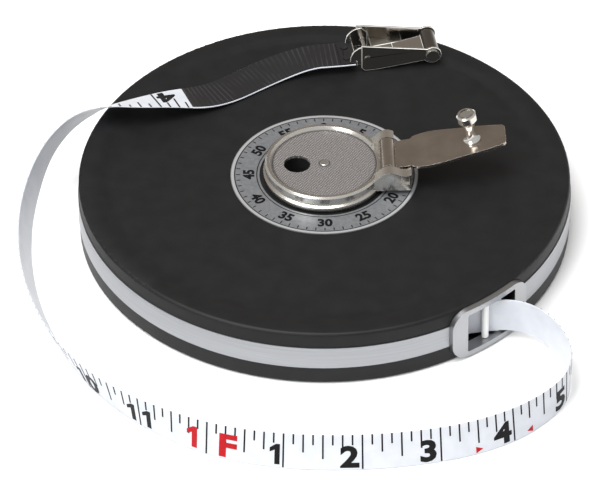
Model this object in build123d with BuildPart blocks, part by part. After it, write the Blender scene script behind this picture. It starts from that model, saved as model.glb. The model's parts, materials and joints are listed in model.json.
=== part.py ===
from build123d import *
import os
from math import cos, hypot, pi, radians, sin, sqrt, tan

# A closed-case long measuring tape: a flat round case with a metal band, a reel inside it that a folding
# crank turns, a mouthpiece with two rollers, and half an inch wide tape that ends in a folding hook.
# The origin is on the case's axis at its lower face, +Z is up towards the crank.

# ---- Case ------------------------------------------------------------------------------------------
CASE_RADIUS = 82.5          # outside of the metal band
CASE_HEIGHT = 21.0          # from rim to rim
SHELL_SET_BACK = 0.3        # the shells' sides stand this far inside the band
SHELL_WALL = 2.6            # side wall
SHELL_PLATE = 1.8           # floor and ceiling
SHELL_CORNER = 1.2          # radius of the outer shoulders
RIM_WIDTH = 6.8             # flat raised rim round each face
RIM_SLOPE = 1.8             # width of the slope inside the rim
FACE_DROP = 0.6             # the faces lie this far below their rims
CROWN_RISE = 0.5            # the front face rises again to its flat centre
CROWN_RADIUS = 32.0         # flat centre of the front face, under the label
BAND_BOTTOM = 6.9
BAND_TOP = 15.2
BAND_THICKNESS = 1.0
SEAM_HEIGHT = 11.05         # where the two shells meet behind the band
FRONT_OPENING = 19.5        # hole for the front bush
REAR_OPENING = 8.0          # hole for the rear bush
REAR_RECESS_RADIUS = 11.0   # dished pocket for the rear cap
REAR_RECESS_DEPTH = 1.8
REAR_BOSS_RADIUS = 14.0

SCREW_AZIMUTHS = [20, 110, 200, 290]
SCREW_INSET = 5.5           # the screws' circle inside the case's edge
SCREW_CIRCLE = CASE_RADIUS - SCREW_INSET
SCREW_BOSS_RADIUS = 2.9
SCREW_RADIUS = 1.1
SCREW_LENGTH = 14.0
SCREW_HEAD_RADIUS = 2.3
SCREW_HEAD_HEIGHT = 1.2
SCREW_SUNK = 0.3            # the heads lie this far inside the rear face
SCREW_DRIVE_RADIUS = 1.0
SCREW_DRIVE_DEPTH = 0.6

# ---- Label -----------------------------------------------------------------------------------------
LABEL_RADIUS = 31.4
LABEL_HOLE = 21.7
LABEL_THICKNESS = 0.3

# ---- Tape ------------------------------------------------------------------------------------------
TAPE_WIDTH = 13.0
TAPE_THICKNESS = 0.4
LEADER_THICKNESS = 0.6
TAPE_ON_REEL = 30000.0      # length that is wound up: 100 ft less what is drawn out
COIL_INNER_RADIUS = 32.5
COIL_OUTER_RADIUS = sqrt(COIL_INNER_RADIUS**2 + TAPE_ON_REEL * TAPE_THICKNESS / pi)
LEADER_SPANS = 6            # how many of the route's last spans are the black leader
SECTIONS_PER_SPAN = 2
# The route of the drawn-out tape, from the mouth round the front and left and up on to the case: x, y, z
# of its middle, and how far its upper edge leans outwards, in degrees (at -90 its printed side is up).
TAPE_ROUTE = [
    (47.1, -61.68, 10.0, 0), (52.0, -60.6, 10.0, 0), (62.0, -59.3, 9.8, 0), (71.0, -64.0, 9.3, 1),
    (77.0, -73.0, 8.4, 2), (80.0, -83.0, 7.4, 1), (78.0, -93.0, 6.8, 0), (71.0, -102.0, 6.6, -3),
    (60.0, -111.0, 6.6, -8), (44.0, -118.0, 6.5, -10), (25.0, -122.0, 6.5, -11), (4.0, -123.5, 6.5, -12),
    (-17.5, -122.0, 6.5, -11), (-37.0, -117.0, 6.6, -6), (-53.0, -108.5, 6.6, 2), (-67.0, -98.0, 6.5, 12),
    (-79.0, -84.5, 6.4, 19), (-88.5, -68.0, 6.5, 24), (-96.0, -48.5, 7.2, 23), (-100.0, -27.5, 8.6, 20),
    (-100.0, -7.0, 11.0, 14), (-96.5, 10.0, 14.6, 5), (-91.5, 21.5, 18.4, -11), (-84.0, 28.5, 22.6, -30),
    (-74.0, 31.5, 25.6, -50), (-62.5, 33.0, 25.8, -66), (-51.0, 36.5, 24.6, -79), (-41.5, 39.5, 22.6, -88),
    (-33.5, 44.0, 21.6, -91), (-25.0, 50.5, 21.5, -92), (-15.0, 56.8, 22.1, -92), (-4.5, 60.0, 23.9, -90),
    (3.7, 60.75, 23.9, -90), (10.2, 61.8, 23.9, -90),
]

# ---- Reel ------------------------------------------------------------------------------------------
COIL_MIDDLE = TAPE_ROUTE[0][2]      # the coil lies level with the mouth
COIL_BOTTOM = COIL_MIDDLE - TAPE_WIDTH / 2
COIL_TOP = COIL_MIDDLE + TAPE_WIDTH / 2
FLANGE_GAP = 0.3            # between the coil's edges and the flanges
FLANGE_THICKNESS = 0.5
FLANGE_RADIUS = 73.0
LOWER_FLANGE_HOLE = 14.5
LOWER_FLANGE_TOP = COIL_BOTTOM - FLANGE_GAP
REAR_BOSS_RISE = 0.2        # the rear boss stands through the flange's hole, this far above it
REAR_BOSS_TOP = LOWER_FLANGE_TOP + REAR_BOSS_RISE
UPPER_FLANGE_BOTTOM = COIL_TOP + FLANGE_GAP
DRUM_RIM_WALL = 3.0
DRUM_WEB_THICKNESS = 3.0
FRONT_JOURNAL_RADIUS = 17.5
REAR_JOURNAL_RADIUS = 6.0
JOURNAL_CLEARANCE = 0.06
REAR_BOSS_GAP = 0.3         # drum above the rear boss
FRONT_BUSH_COLLAR_RADIUS = 21.5
FRONT_BUSH_COLLAR = 0.8
FRONT_BUSH_RISE = 0.1       # above the front rim
FRONT_BUSH_TOP = CASE_HEIGHT + FRONT_BUSH_RISE
AXLE_RADIUS = 2.0
AXLE_HEAD_RADIUS = 1.5
AXLE_HEAD_RISE = 0.4
REAR_CAP_RADIUS = 9.5
REAR_CAP_BOTTOM = 0.5
REAR_CAP_THICKNESS = 1.0
ANCHOR_PIN_RADIUS = 1.0
ANCHOR_PIN_SHORT = 1.0      # shorter than the tape is wide
ANCHOR_PIN_LENGTH = TAPE_WIDTH - ANCHOR_PIN_SHORT

# ---- Crank -----------------------------------------------------------------------------------------
CRANK_AZIMUTH = 2.0         # which way the crank points, from +X
# heights here are measured from the case's front rim, so the crank follows a thicker case
PLATE_BOTTOM = CASE_HEIGHT + 0.6
PLATE_FACE = CASE_HEIGHT + 4.8      # the round grained face
PLATE_SHEET = 1.0
PLATE_FLANGE_RADIUS = 20.4
PLATE_FLANGE_TOP = CASE_HEIGHT + 2.0
PLATE_GROOVE_RADIUS = 19.2
PLATE_GROOVE_HEIGHT = CASE_HEIGHT + 2.7
PLATE_RIM_RADIUS = 19.9
PLATE_RIM_TOP = CASE_HEIGHT + 6.0
PLATE_RIM_INNER = 17.8
DRIVE_LUG_RADIUS = 1.6
DRIVE_LUG_CIRCLE = 13.0
DRIVE_LUG_LENGTH = 3.0
DRIVE_LUG_CLEARANCE = 0.05
HINGE_DISTANCE = 21.3       # handle hinge from the reel's axis
HINGE_HEIGHT = CASE_HEIGHT + 6.6
HINGE_PIN_RADIUS = 1.3
HINGE_CLEARANCE = 0.05
NECK_BOTTOM = CASE_HEIGHT + 1.6
NECK_TOP = CASE_HEIGHT + 3.4
NECK_END = 28.6
NECK_ROOT = 8.0
NECK_ROOT_HALF_WIDTH = 16.4
EAR_INNER = 7.6             # half the gap between the ears
EAR_OUTER = 11.6
EAR_START = 16.0            # inside the rim, so each ear grows out of it
NECK_SHOULDER = 16.5
NOTCH_START = 17.0          # the rim is cut away from here for the handle's barrel
REAR_EAR_END = 23.6
EAR_TOP = CASE_HEIGHT + 9.2
EAR_END_TOP = CASE_HEIGHT + 8.2
EAR_POCKET_WIDTH = 2.8      # square pocket in the front ear's outer face
EAR_POCKET_HEIGHT = 3.4
EAR_POCKET_DEPTH = 0.8
EAR_POCKET_CENTRE = (26.5, CASE_HEIGHT + 5.7)
STOP_LIP = 1.0              # thickness of the lip that stops the open handle
STOP_LIP_TOP = CASE_HEIGHT + 7.3
HANDLE_LIFT = 12.0          # slope of the open handle
HANDLE_LENGTH = 40.0
HANDLE_THICKNESS = 0.9
HANDLE_ROOT_HALF_WIDTH = 7.0
HANDLE_SHOULDER_AT = 7.9    # where it widens, just past the ears
HANDLE_SHOULDER_HALF_WIDTH = 8.0
HANDLE_WAIST_HALF_WIDTH = 8.9
HANDLE_WAIST_AT = 15.3
HANDLE_TIP_HALF_WIDTH = 4.7
HANDLE_TIP_CORNER = 1.6
BARREL_RADIUS = 2.6
BARREL_HALF_WIDTH = 7.3
KNOB_REACH = 28.8           # knob's axis from the hinge, along the handle
KNOB_GAP = 0.1
KNOB_HEIGHT = 11.4
KNOB_BASE_RADIUS = 2.9
KNOB_BASE_EDGE = 0.5
KNOB_WAIST_RADIUS = 1.6
KNOB_WAIST_HEIGHT = 4.2
KNOB_HEAD_RADIUS = 3.3
KNOB_HEAD_HEIGHT = 3.0
KNOB_RECESS_RADIUS = 2.3
KNOB_RECESS_DEPTH = 0.8
STEM_RADIUS = 0.9
STEM_CLEARANCE = 0.05
STEM_HEAD_RADIUS = 1.8
STEM_HEAD_THICKNESS = 0.5
KNOB_HOLE_RADIUS = 4.45
KNOB_SWING_ALLOWANCE = 1.6  # the hole lies further from the hinge than the knob, which swings in
KNOB_WELL_RADIUS = 5.6
KNOB_WELL_CLEARANCE = 1.0   # under the folded knob

# ---- Mouthpiece ------------------------------------------------------------------------------------
MOUTH_AZIMUTH = -49.4
MOUTH_WIDTH = 32.4
MOUTH_HEIGHT = 19.6
MOUTH_CORNER = 6.5
MOUTH_PROUD = 1.5           # the mouthpiece stands out of the band
MOUTH_OUTER_RADIUS = CASE_RADIUS + MOUTH_PROUD
MOUTH_FIT = 0.1             # between mouthpiece and shells
MOUTH_FLANGE_THICKNESS = 1.3
MOUTH_FLANGE_WIDTH = 36.6
MOUTH_FLANGE_HEIGHT = 15.6
SLOT_WIDTH = 20.6
SLOT_HEIGHT = 15.6
SLOT_CORNER = 0.8
ROLLER_AZIMUTHS = {"roller_left": -50.0, "roller_right": -46.1}
ROLLER_SET_BACK = 2.8       # the rollers' axes behind the mouthpiece's face
ROLLER_CIRCLE = MOUTH_OUTER_RADIUS - ROLLER_SET_BACK
ROLLER_RADIUS = 1.2
ROLLER_LENGTH = 15.2
ROLLER_PIN_RADIUS = 0.5
ROLLER_CLEARANCE = 0.05
ROLLER_PIN_SEAT = 1.0       # how deep the pins sit in the frame

# ---- End fitting -----------------------------------------------------------------------------------
CLIP_SHEET = 0.5
CLIP_LENGTH = 5.0           # how much of the leader it holds
CLIP_FOLD = 0.5
CLIP_HALF_WIDTH = 6.2
CHEEK_INNER = 4.9
CHEEK_OUTER = 5.5
CHEEK_BACK = -1.8           # measured from the leader's end
CHEEK_FRONT = 5.8
CHEEK_TOP = 30.6
CHEEK_ROUND = 5.4           # radius of the cheeks' back corner
RIVET_RADIUS = 0.8
RIVET_HEAD_RADIUS = 1.3
RIVET_HEAD_HEIGHT = 0.3
RIVET_SPACING = 6.0
RIVET_SETBACK = 2.6
YOKE_PIVOT = 4.0            # yoke pivot from the leader's end
YOKE_PIVOT_HEIGHT = 25.8
YOKE_PIN_RADIUS = 0.8
YOKE_PIN_HEAD_RADIUS = 1.2
YOKE_PIN_HEAD = 0.25
YOKE_SIDE_GAP = 0.1         # between the yoke's arms and the pin's heads
YOKE_INNER = 5.6            # half the width between the yoke's arms
YOKE_SHEET = 0.7
YOKE_BACK = 2.0
YOKE_TOP = 31.4
YOKE_BOTTOM = 20.9
YOKE_WEB_START = 7.3
YOKE_WEB_END = 18.0
HOOK_PIVOT = 26.5           # hook pin from the leader's end
HOOK_PIVOT_HEIGHT = 24.5
KNUCKLE_RADIUS = 3.2
YOKE_NECK_TOP = 26.9
YOKE_NECK_BOTTOM = 22.6
YOKE_NECK_AT = 23.5
HOOK_PIN_RADIUS = 1.0
HOOK_PIN_HEAD_RADIUS = 2.3
HOOK_PIN_HEAD = 0.6
FITTING_CLEARANCE = 0.05
HOOK_SIDE_GAP = 0.3
HOOK_BARREL_RADIUS = 2.7
HOOK_SHEET = 0.8
HOOK_PLATE_HEIGHT = 25.2
HOOK_TIP_AT = 13.5
HOOK_TIP_WIDTH = 6.7
HOOK_SHOULDER_AT = 23.4
HOOK_SHOULDER = 3.8
HOOK_CLAW_DROP = 1.8

# ---- Places that follow from the sizes ----------------------------------------------------------------
SHELL_RADIUS = CASE_RADIUS - SHELL_SET_BACK
INNER_RADIUS = SHELL_RADIUS - SHELL_WALL
BAND_INNER = CASE_RADIUS - BAND_THICKNESS
FLOOR_TOP = FACE_DROP + SHELL_PLATE
CEILING = CASE_HEIGHT - FACE_DROP - SHELL_PLATE
RIM_OUTER = SHELL_RADIUS - SHELL_CORNER
RIM_INNER = RIM_OUTER - RIM_WIDTH + SHELL_CORNER
FACE_EDGE = RIM_INNER - RIM_SLOPE
FRONT_FACE_CENTRE = CASE_HEIGHT - FACE_DROP + CROWN_RISE
DRUM_TOP = PLATE_FACE - PLATE_SHEET
KNOB_HOLE_DISTANCE = KNOB_REACH + KNOB_SWING_ALLOWANCE - HINGE_DISTANCE
KNOB_TOP = HANDLE_THICKNESS / 2 + KNOB_GAP + KNOB_HEIGHT    # above the handle's middle plane
KNOB_WELL_FLOOR = HINGE_HEIGHT - KNOB_TOP - KNOB_WELL_CLEARANCE

# ---- Frames ------------------------------------------------------------------------------------------


def turned_plane(azimuth, distance=0.0, height=0.0):
    """A level plane whose X axis points along azimuth, at a distance out along it."""
    a = radians(azimuth)
    return Plane(origin=(distance * cos(a), distance * sin(a), height), x_dir=(cos(a), sin(a), 0), z_dir=(0, 0, 1))


def side_plane(level):
    """The upright plane through a level plane's X axis: its X is the same, its Y is up."""
    return Plane(origin=level.origin, x_dir=level.x_dir, z_dir=-level.y_dir)


crank_level = turned_plane(CRANK_AZIMUTH)
crank_side = side_plane(crank_level)
mouth_radial = Vector(cos(radians(MOUTH_AZIMUTH)), sin(radians(MOUTH_AZIMUTH)), 0)
mouth_face = Plane(
    origin=mouth_radial * (INNER_RADIUS - 10) + Vector(0, 0, CASE_HEIGHT / 2),
    x_dir=(-mouth_radial.Y, mouth_radial.X, 0),
    z_dir=mouth_radial,
)
route_end = Vector(*TAPE_ROUTE[-1][:3])
end_run = route_end - Vector(*TAPE_ROUTE[-2][:3])
end_level = Plane(origin=(route_end.X, route_end.Y, 0), x_dir=(end_run.X, end_run.Y, 0), z_dir=(0, 0, 1))
end_side = side_plane(end_level)
hinge_point = crank_level.from_local_coords(Vector(HINGE_DISTANCE, 0, HINGE_HEIGHT))
leaf_x = crank_level.x_dir * cos(radians(HANDLE_LIFT)) + Vector(0, 0, sin(radians(HANDLE_LIFT)))
leaf_normal = Vector(0, 0, cos(radians(HANDLE_LIFT))) - crank_level.x_dir * sin(radians(HANDLE_LIFT))
leaf_level = Plane(origin=hinge_point, x_dir=leaf_x, z_dir=leaf_normal)
leaf_side = side_plane(leaf_level)

os.makedirs("parts", exist_ok=True)


def save(part, name):
    part.label = name
    export_step(part, "parts/" + name + ".step")


# ---- Case shells and band ------------------------------------------------------------------------------


def mouth_block(width, height, corner, inner_radius, outer_radius):
    """The mouthpiece's outline as a solid between two radii of the case."""
    with BuildPart() as block:
        with BuildSketch(mouth_face):
            RectangleRounded(width, height, corner)
        extrude(amount=30)
        with BuildSketch(Plane.XY.offset(-CASE_HEIGHT)):
            Circle(outer_radius)
            Circle(inner_radius, mode=Mode.SUBTRACT)
        extrude(amount=3 * CASE_HEIGHT, mode=Mode.INTERSECT)
    return block.part


mouth_gap = mouth_block(
    MOUTH_WIDTH + 2 * MOUTH_FIT, MOUTH_HEIGHT + 2 * MOUTH_FIT, MOUTH_CORNER, INNER_RADIUS - 5, CASE_RADIUS + 5
)

with BuildPart() as rear_shell:
    with BuildSketch(Plane.XZ):
        with BuildLine():
            Polyline(
                (REAR_OPENING, REAR_BOSS_TOP), (REAR_OPENING, REAR_RECESS_DEPTH),
                (REAR_RECESS_RADIUS, REAR_RECESS_DEPTH), (REAR_RECESS_RADIUS, FACE_DROP),
                (FACE_EDGE, FACE_DROP), (RIM_INNER, 0), (RIM_OUTER, 0),
            )
            CenterArc((RIM_OUTER, SHELL_CORNER), SHELL_CORNER, 270, 90)
            Polyline(
                (SHELL_RADIUS, SHELL_CORNER), (SHELL_RADIUS, BAND_BOTTOM), (BAND_INNER, BAND_BOTTOM),
                (BAND_INNER, SEAM_HEIGHT), (INNER_RADIUS, SEAM_HEIGHT), (INNER_RADIUS, FLOOR_TOP),
                (REAR_BOSS_RADIUS, FLOOR_TOP), (REAR_BOSS_RADIUS, REAR_BOSS_TOP), (REAR_OPENING, REAR_BOSS_TOP),
            )
        make_face()
    revolve(axis=Axis.Z)
    for azimuth in SCREW_AZIMUTHS:
        with BuildSketch(turned_plane(azimuth, SCREW_CIRCLE, FLOOR_TOP)):
            Circle(SCREW_BOSS_RADIUS)
        extrude(amount=SEAM_HEIGHT - FLOOR_TOP)
        with BuildSketch(turned_plane(azimuth, SCREW_CIRCLE)):
            Circle(SCREW_RADIUS)
        extrude(amount=SEAM_HEIGHT, mode=Mode.SUBTRACT)
        with BuildSketch(turned_plane(azimuth, SCREW_CIRCLE)):
            Circle(SCREW_HEAD_RADIUS)
        extrude(amount=SCREW_SUNK + SCREW_HEAD_HEIGHT, mode=Mode.SUBTRACT)
    add(mouth_gap, mode=Mode.SUBTRACT)
save(rear_shell.part, "rear_shell")

with BuildPart() as front_shell:
    with BuildSketch(Plane.XZ):
        with BuildLine():
            Line((FRONT_OPENING, FRONT_FACE_CENTRE), (CROWN_RADIUS, FRONT_FACE_CENTRE))
            ThreePointArc(
                (CROWN_RADIUS, FRONT_FACE_CENTRE),
                ((CROWN_RADIUS + FACE_EDGE) / 2, FRONT_FACE_CENTRE - 0.35 * CROWN_RISE),
                (FACE_EDGE, CASE_HEIGHT - FACE_DROP),
            )
            Polyline((FACE_EDGE, CASE_HEIGHT - FACE_DROP), (RIM_INNER, CASE_HEIGHT), (RIM_OUTER, CASE_HEIGHT))
            CenterArc((RIM_OUTER, CASE_HEIGHT - SHELL_CORNER), SHELL_CORNER, 0, 90)
            Polyline(
                (SHELL_RADIUS, CASE_HEIGHT - SHELL_CORNER), (SHELL_RADIUS, BAND_TOP), (BAND_INNER, BAND_TOP),
                (BAND_INNER, SEAM_HEIGHT), (INNER_RADIUS, SEAM_HEIGHT), (INNER_RADIUS, CEILING),
                (FRONT_OPENING, CEILING), (FRONT_OPENING, FRONT_FACE_CENTRE),
            )
        make_face()
    revolve(axis=Axis.Z)
    for azimuth in SCREW_AZIMUTHS:
        with BuildSketch(turned_plane(azimuth, SCREW_CIRCLE, SEAM_HEIGHT)):
            Circle(SCREW_BOSS_RADIUS)
        extrude(amount=CEILING - SEAM_HEIGHT)
        with BuildSketch(turned_plane(azimuth, SCREW_CIRCLE, SEAM_HEIGHT)):
            Circle(SCREW_RADIUS)
        extrude(amount=SCREW_SUNK + SCREW_LENGTH - SEAM_HEIGHT, mode=Mode.SUBTRACT)
    add(mouth_gap, mode=Mode.SUBTRACT)
save(front_shell.part, "front_shell")

with BuildPart() as case_band:
    with BuildSketch(Plane.XY.offset(BAND_BOTTOM)):
        Circle(CASE_RADIUS)
        Circle(BAND_INNER, mode=Mode.SUBTRACT)
    extrude(amount=BAND_TOP - BAND_BOTTOM)
    add(mouth_gap, mode=Mode.SUBTRACT)
save(case_band.part, "case_band")

with BuildPart() as case_screws:
    for azimuth in SCREW_AZIMUTHS:
        with BuildSketch(turned_plane(azimuth, SCREW_CIRCLE, SCREW_SUNK)):
            Circle(SCREW_HEAD_RADIUS)
        extrude(amount=SCREW_HEAD_HEIGHT)
        with BuildSketch(turned_plane(azimuth, SCREW_CIRCLE, SCREW_SUNK)):
            Circle(SCREW_RADIUS)
        extrude(amount=SCREW_LENGTH)
        with BuildSketch(turned_plane(azimuth, SCREW_CIRCLE, SCREW_SUNK)):
            SlotOverall(2.4 * SCREW_DRIVE_RADIUS, 0.8 * SCREW_DRIVE_RADIUS)
            SlotOverall(2.4 * SCREW_DRIVE_RADIUS, 0.8 * SCREW_DRIVE_RADIUS, rotation=90)
        extrude(amount=SCREW_DRIVE_DEPTH, mode=Mode.SUBTRACT)
save(case_screws.part, "case_screws")

with BuildPart() as label_plate:
    with BuildSketch(Plane.XY.offset(FRONT_FACE_CENTRE)):
        Circle(LABEL_RADIUS)
        Circle(LABEL_HOLE, mode=Mode.SUBTRACT)
    extrude(amount=LABEL_THICKNESS)
save(label_plate.part, "label_plate")

# ---- Bearings of the reel ---------------------------------------------------------------------------------

with BuildPart() as front_bush:
    with BuildSketch(Plane.XY.offset(CEILING)):
        Circle(FRONT_OPENING)
    extrude(amount=FRONT_BUSH_TOP - CEILING)
    with BuildSketch(Plane.XY.offset(CEILING)):
        Circle(FRONT_BUSH_COLLAR_RADIUS)
    extrude(amount=-FRONT_BUSH_COLLAR)
    with BuildSketch(Plane.XY):
        Circle(FRONT_JOURNAL_RADIUS + JOURNAL_CLEARANCE)
    extrude(amount=2 * CASE_HEIGHT, mode=Mode.SUBTRACT)
save(front_bush.part, "front_bush")

with BuildPart() as rear_bush:
    with BuildSketch(Plane.XY.offset(REAR_RECESS_DEPTH)):
        Circle(REAR_OPENING)
        Circle(REAR_JOURNAL_RADIUS + JOURNAL_CLEARANCE, mode=Mode.SUBTRACT)
    extrude(amount=REAR_BOSS_TOP - REAR_RECESS_DEPTH)
save(rear_bush.part, "rear_bush")

# ---- Reel: drum, flanges, coil ------------------------------------------------------------------------------

well_plane = turned_plane(CRANK_AZIMUTH, -KNOB_HOLE_DISTANCE)
lug_azimuths = [CRANK_AZIMUTH - 70, CRANK_AZIMUTH + 70]
rear_cap_top = REAR_CAP_BOTTOM + REAR_CAP_THICKNESS
web_bottom = COIL_MIDDLE - DRUM_WEB_THICKNESS / 2

with BuildPart() as reel_drum:
    with BuildSketch(Plane.XZ):
        with BuildLine():
            Polyline(
                (AXLE_RADIUS, rear_cap_top), (REAR_JOURNAL_RADIUS, rear_cap_top),
                (REAR_JOURNAL_RADIUS, REAR_BOSS_TOP + REAR_BOSS_GAP),
                (FRONT_JOURNAL_RADIUS, REAR_BOSS_TOP + REAR_BOSS_GAP), (FRONT_JOURNAL_RADIUS, web_bottom),
                (COIL_INNER_RADIUS - DRUM_RIM_WALL, web_bottom),
                (COIL_INNER_RADIUS - DRUM_RIM_WALL, LOWER_FLANGE_TOP), (COIL_INNER_RADIUS, LOWER_FLANGE_TOP),
                (COIL_INNER_RADIUS, UPPER_FLANGE_BOTTOM),
                (COIL_INNER_RADIUS - DRUM_RIM_WALL, UPPER_FLANGE_BOTTOM),
                (COIL_INNER_RADIUS - DRUM_RIM_WALL, web_bottom + DRUM_WEB_THICKNESS),
                (FRONT_JOURNAL_RADIUS, web_bottom + DRUM_WEB_THICKNESS), (FRONT_JOURNAL_RADIUS, DRUM_TOP),
                (AXLE_RADIUS, DRUM_TOP), (AXLE_RADIUS, rear_cap_top),
            )
        make_face()
    revolve(axis=Axis.Z)
    with BuildSketch(well_plane.offset(KNOB_WELL_FLOOR)):
        Circle(KNOB_WELL_RADIUS)
    extrude(amount=DRUM_TOP - KNOB_WELL_FLOOR, mode=Mode.SUBTRACT)
    for azimuth in lug_azimuths:
        with BuildSketch(turned_plane(azimuth, DRIVE_LUG_CIRCLE, DRUM_TOP)):
            Circle(DRIVE_LUG_RADIUS + DRIVE_LUG_CLEARANCE)
        extrude(amount=-DRIVE_LUG_LENGTH - DRIVE_LUG_CLEARANCE, mode=Mode.SUBTRACT)
    with BuildSketch(turned_plane(0, COIL_INNER_RADIUS - DRUM_RIM_WALL / 2, COIL_MIDDLE - ANCHOR_PIN_LENGTH / 2)):
        Circle(ANCHOR_PIN_RADIUS)
    extrude(amount=ANCHOR_PIN_LENGTH, mode=Mode.SUBTRACT)
save(reel_drum.part, "reel_drum")

with BuildPart() as tape_anchor_pin:
    with BuildSketch(turned_plane(0, COIL_INNER_RADIUS - DRUM_RIM_WALL / 2, COIL_MIDDLE - ANCHOR_PIN_LENGTH / 2)):
        Circle(ANCHOR_PIN_RADIUS)
    extrude(amount=ANCHOR_PIN_LENGTH)
save(tape_anchor_pin.part, "tape_anchor_pin")

with BuildPart() as lower_flange:
    with BuildSketch(Plane.XY.offset(LOWER_FLANGE_TOP - FLANGE_THICKNESS)):
        Circle(FLANGE_RADIUS)
        Circle(LOWER_FLANGE_HOLE, mode=Mode.SUBTRACT)
    extrude(amount=FLANGE_THICKNESS)
save(lower_flange.part, "lower_flange")

with BuildPart() as upper_flange:
    with BuildSketch(Plane.XY.offset(UPPER_FLANGE_BOTTOM)):
        Circle(FLANGE_RADIUS)
        Circle(FRONT_JOURNAL_RADIUS, mode=Mode.SUBTRACT)
    extrude(amount=FLANGE_THICKNESS)
save(upper_flange.part, "upper_flange")

with BuildPart() as wound_tape:
    with BuildSketch(Plane.XY.offset(COIL_BOTTOM)):
        Circle(COIL_OUTER_RADIUS)
        Circle(COIL_INNER_RADIUS, mode=Mode.SUBTRACT)
    extrude(amount=TAPE_WIDTH)
save(wound_tape.part, "wound_tape")

with BuildPart() as axle_rivet:
    with BuildSketch(Plane.XY.offset(REAR_CAP_BOTTOM)):
        Circle(AXLE_RADIUS)
    extrude(amount=DRUM_TOP - REAR_CAP_BOTTOM)
    with BuildSketch(Plane.XY.offset(DRUM_TOP)):
        Circle(AXLE_HEAD_RADIUS)
    extrude(amount=PLATE_FACE + AXLE_HEAD_RISE - DRUM_TOP)
    fillet(axle_rivet.faces().sort_by(Axis.Z)[-1].edges(), AXLE_HEAD_RISE * 0.8)
save(axle_rivet.part, "axle_rivet")

with BuildPart() as rear_cap:
    with BuildSketch(Plane.XY.offset(REAR_CAP_BOTTOM)):
        Circle(REAR_CAP_RADIUS)
        Circle(AXLE_RADIUS, mode=Mode.SUBTRACT)
    extrude(amount=REAR_CAP_THICKNESS)
save(rear_cap.part, "rear_cap")

# ---- Crank plate with its neck and ears -----------------------------------------------------------------------

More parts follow.
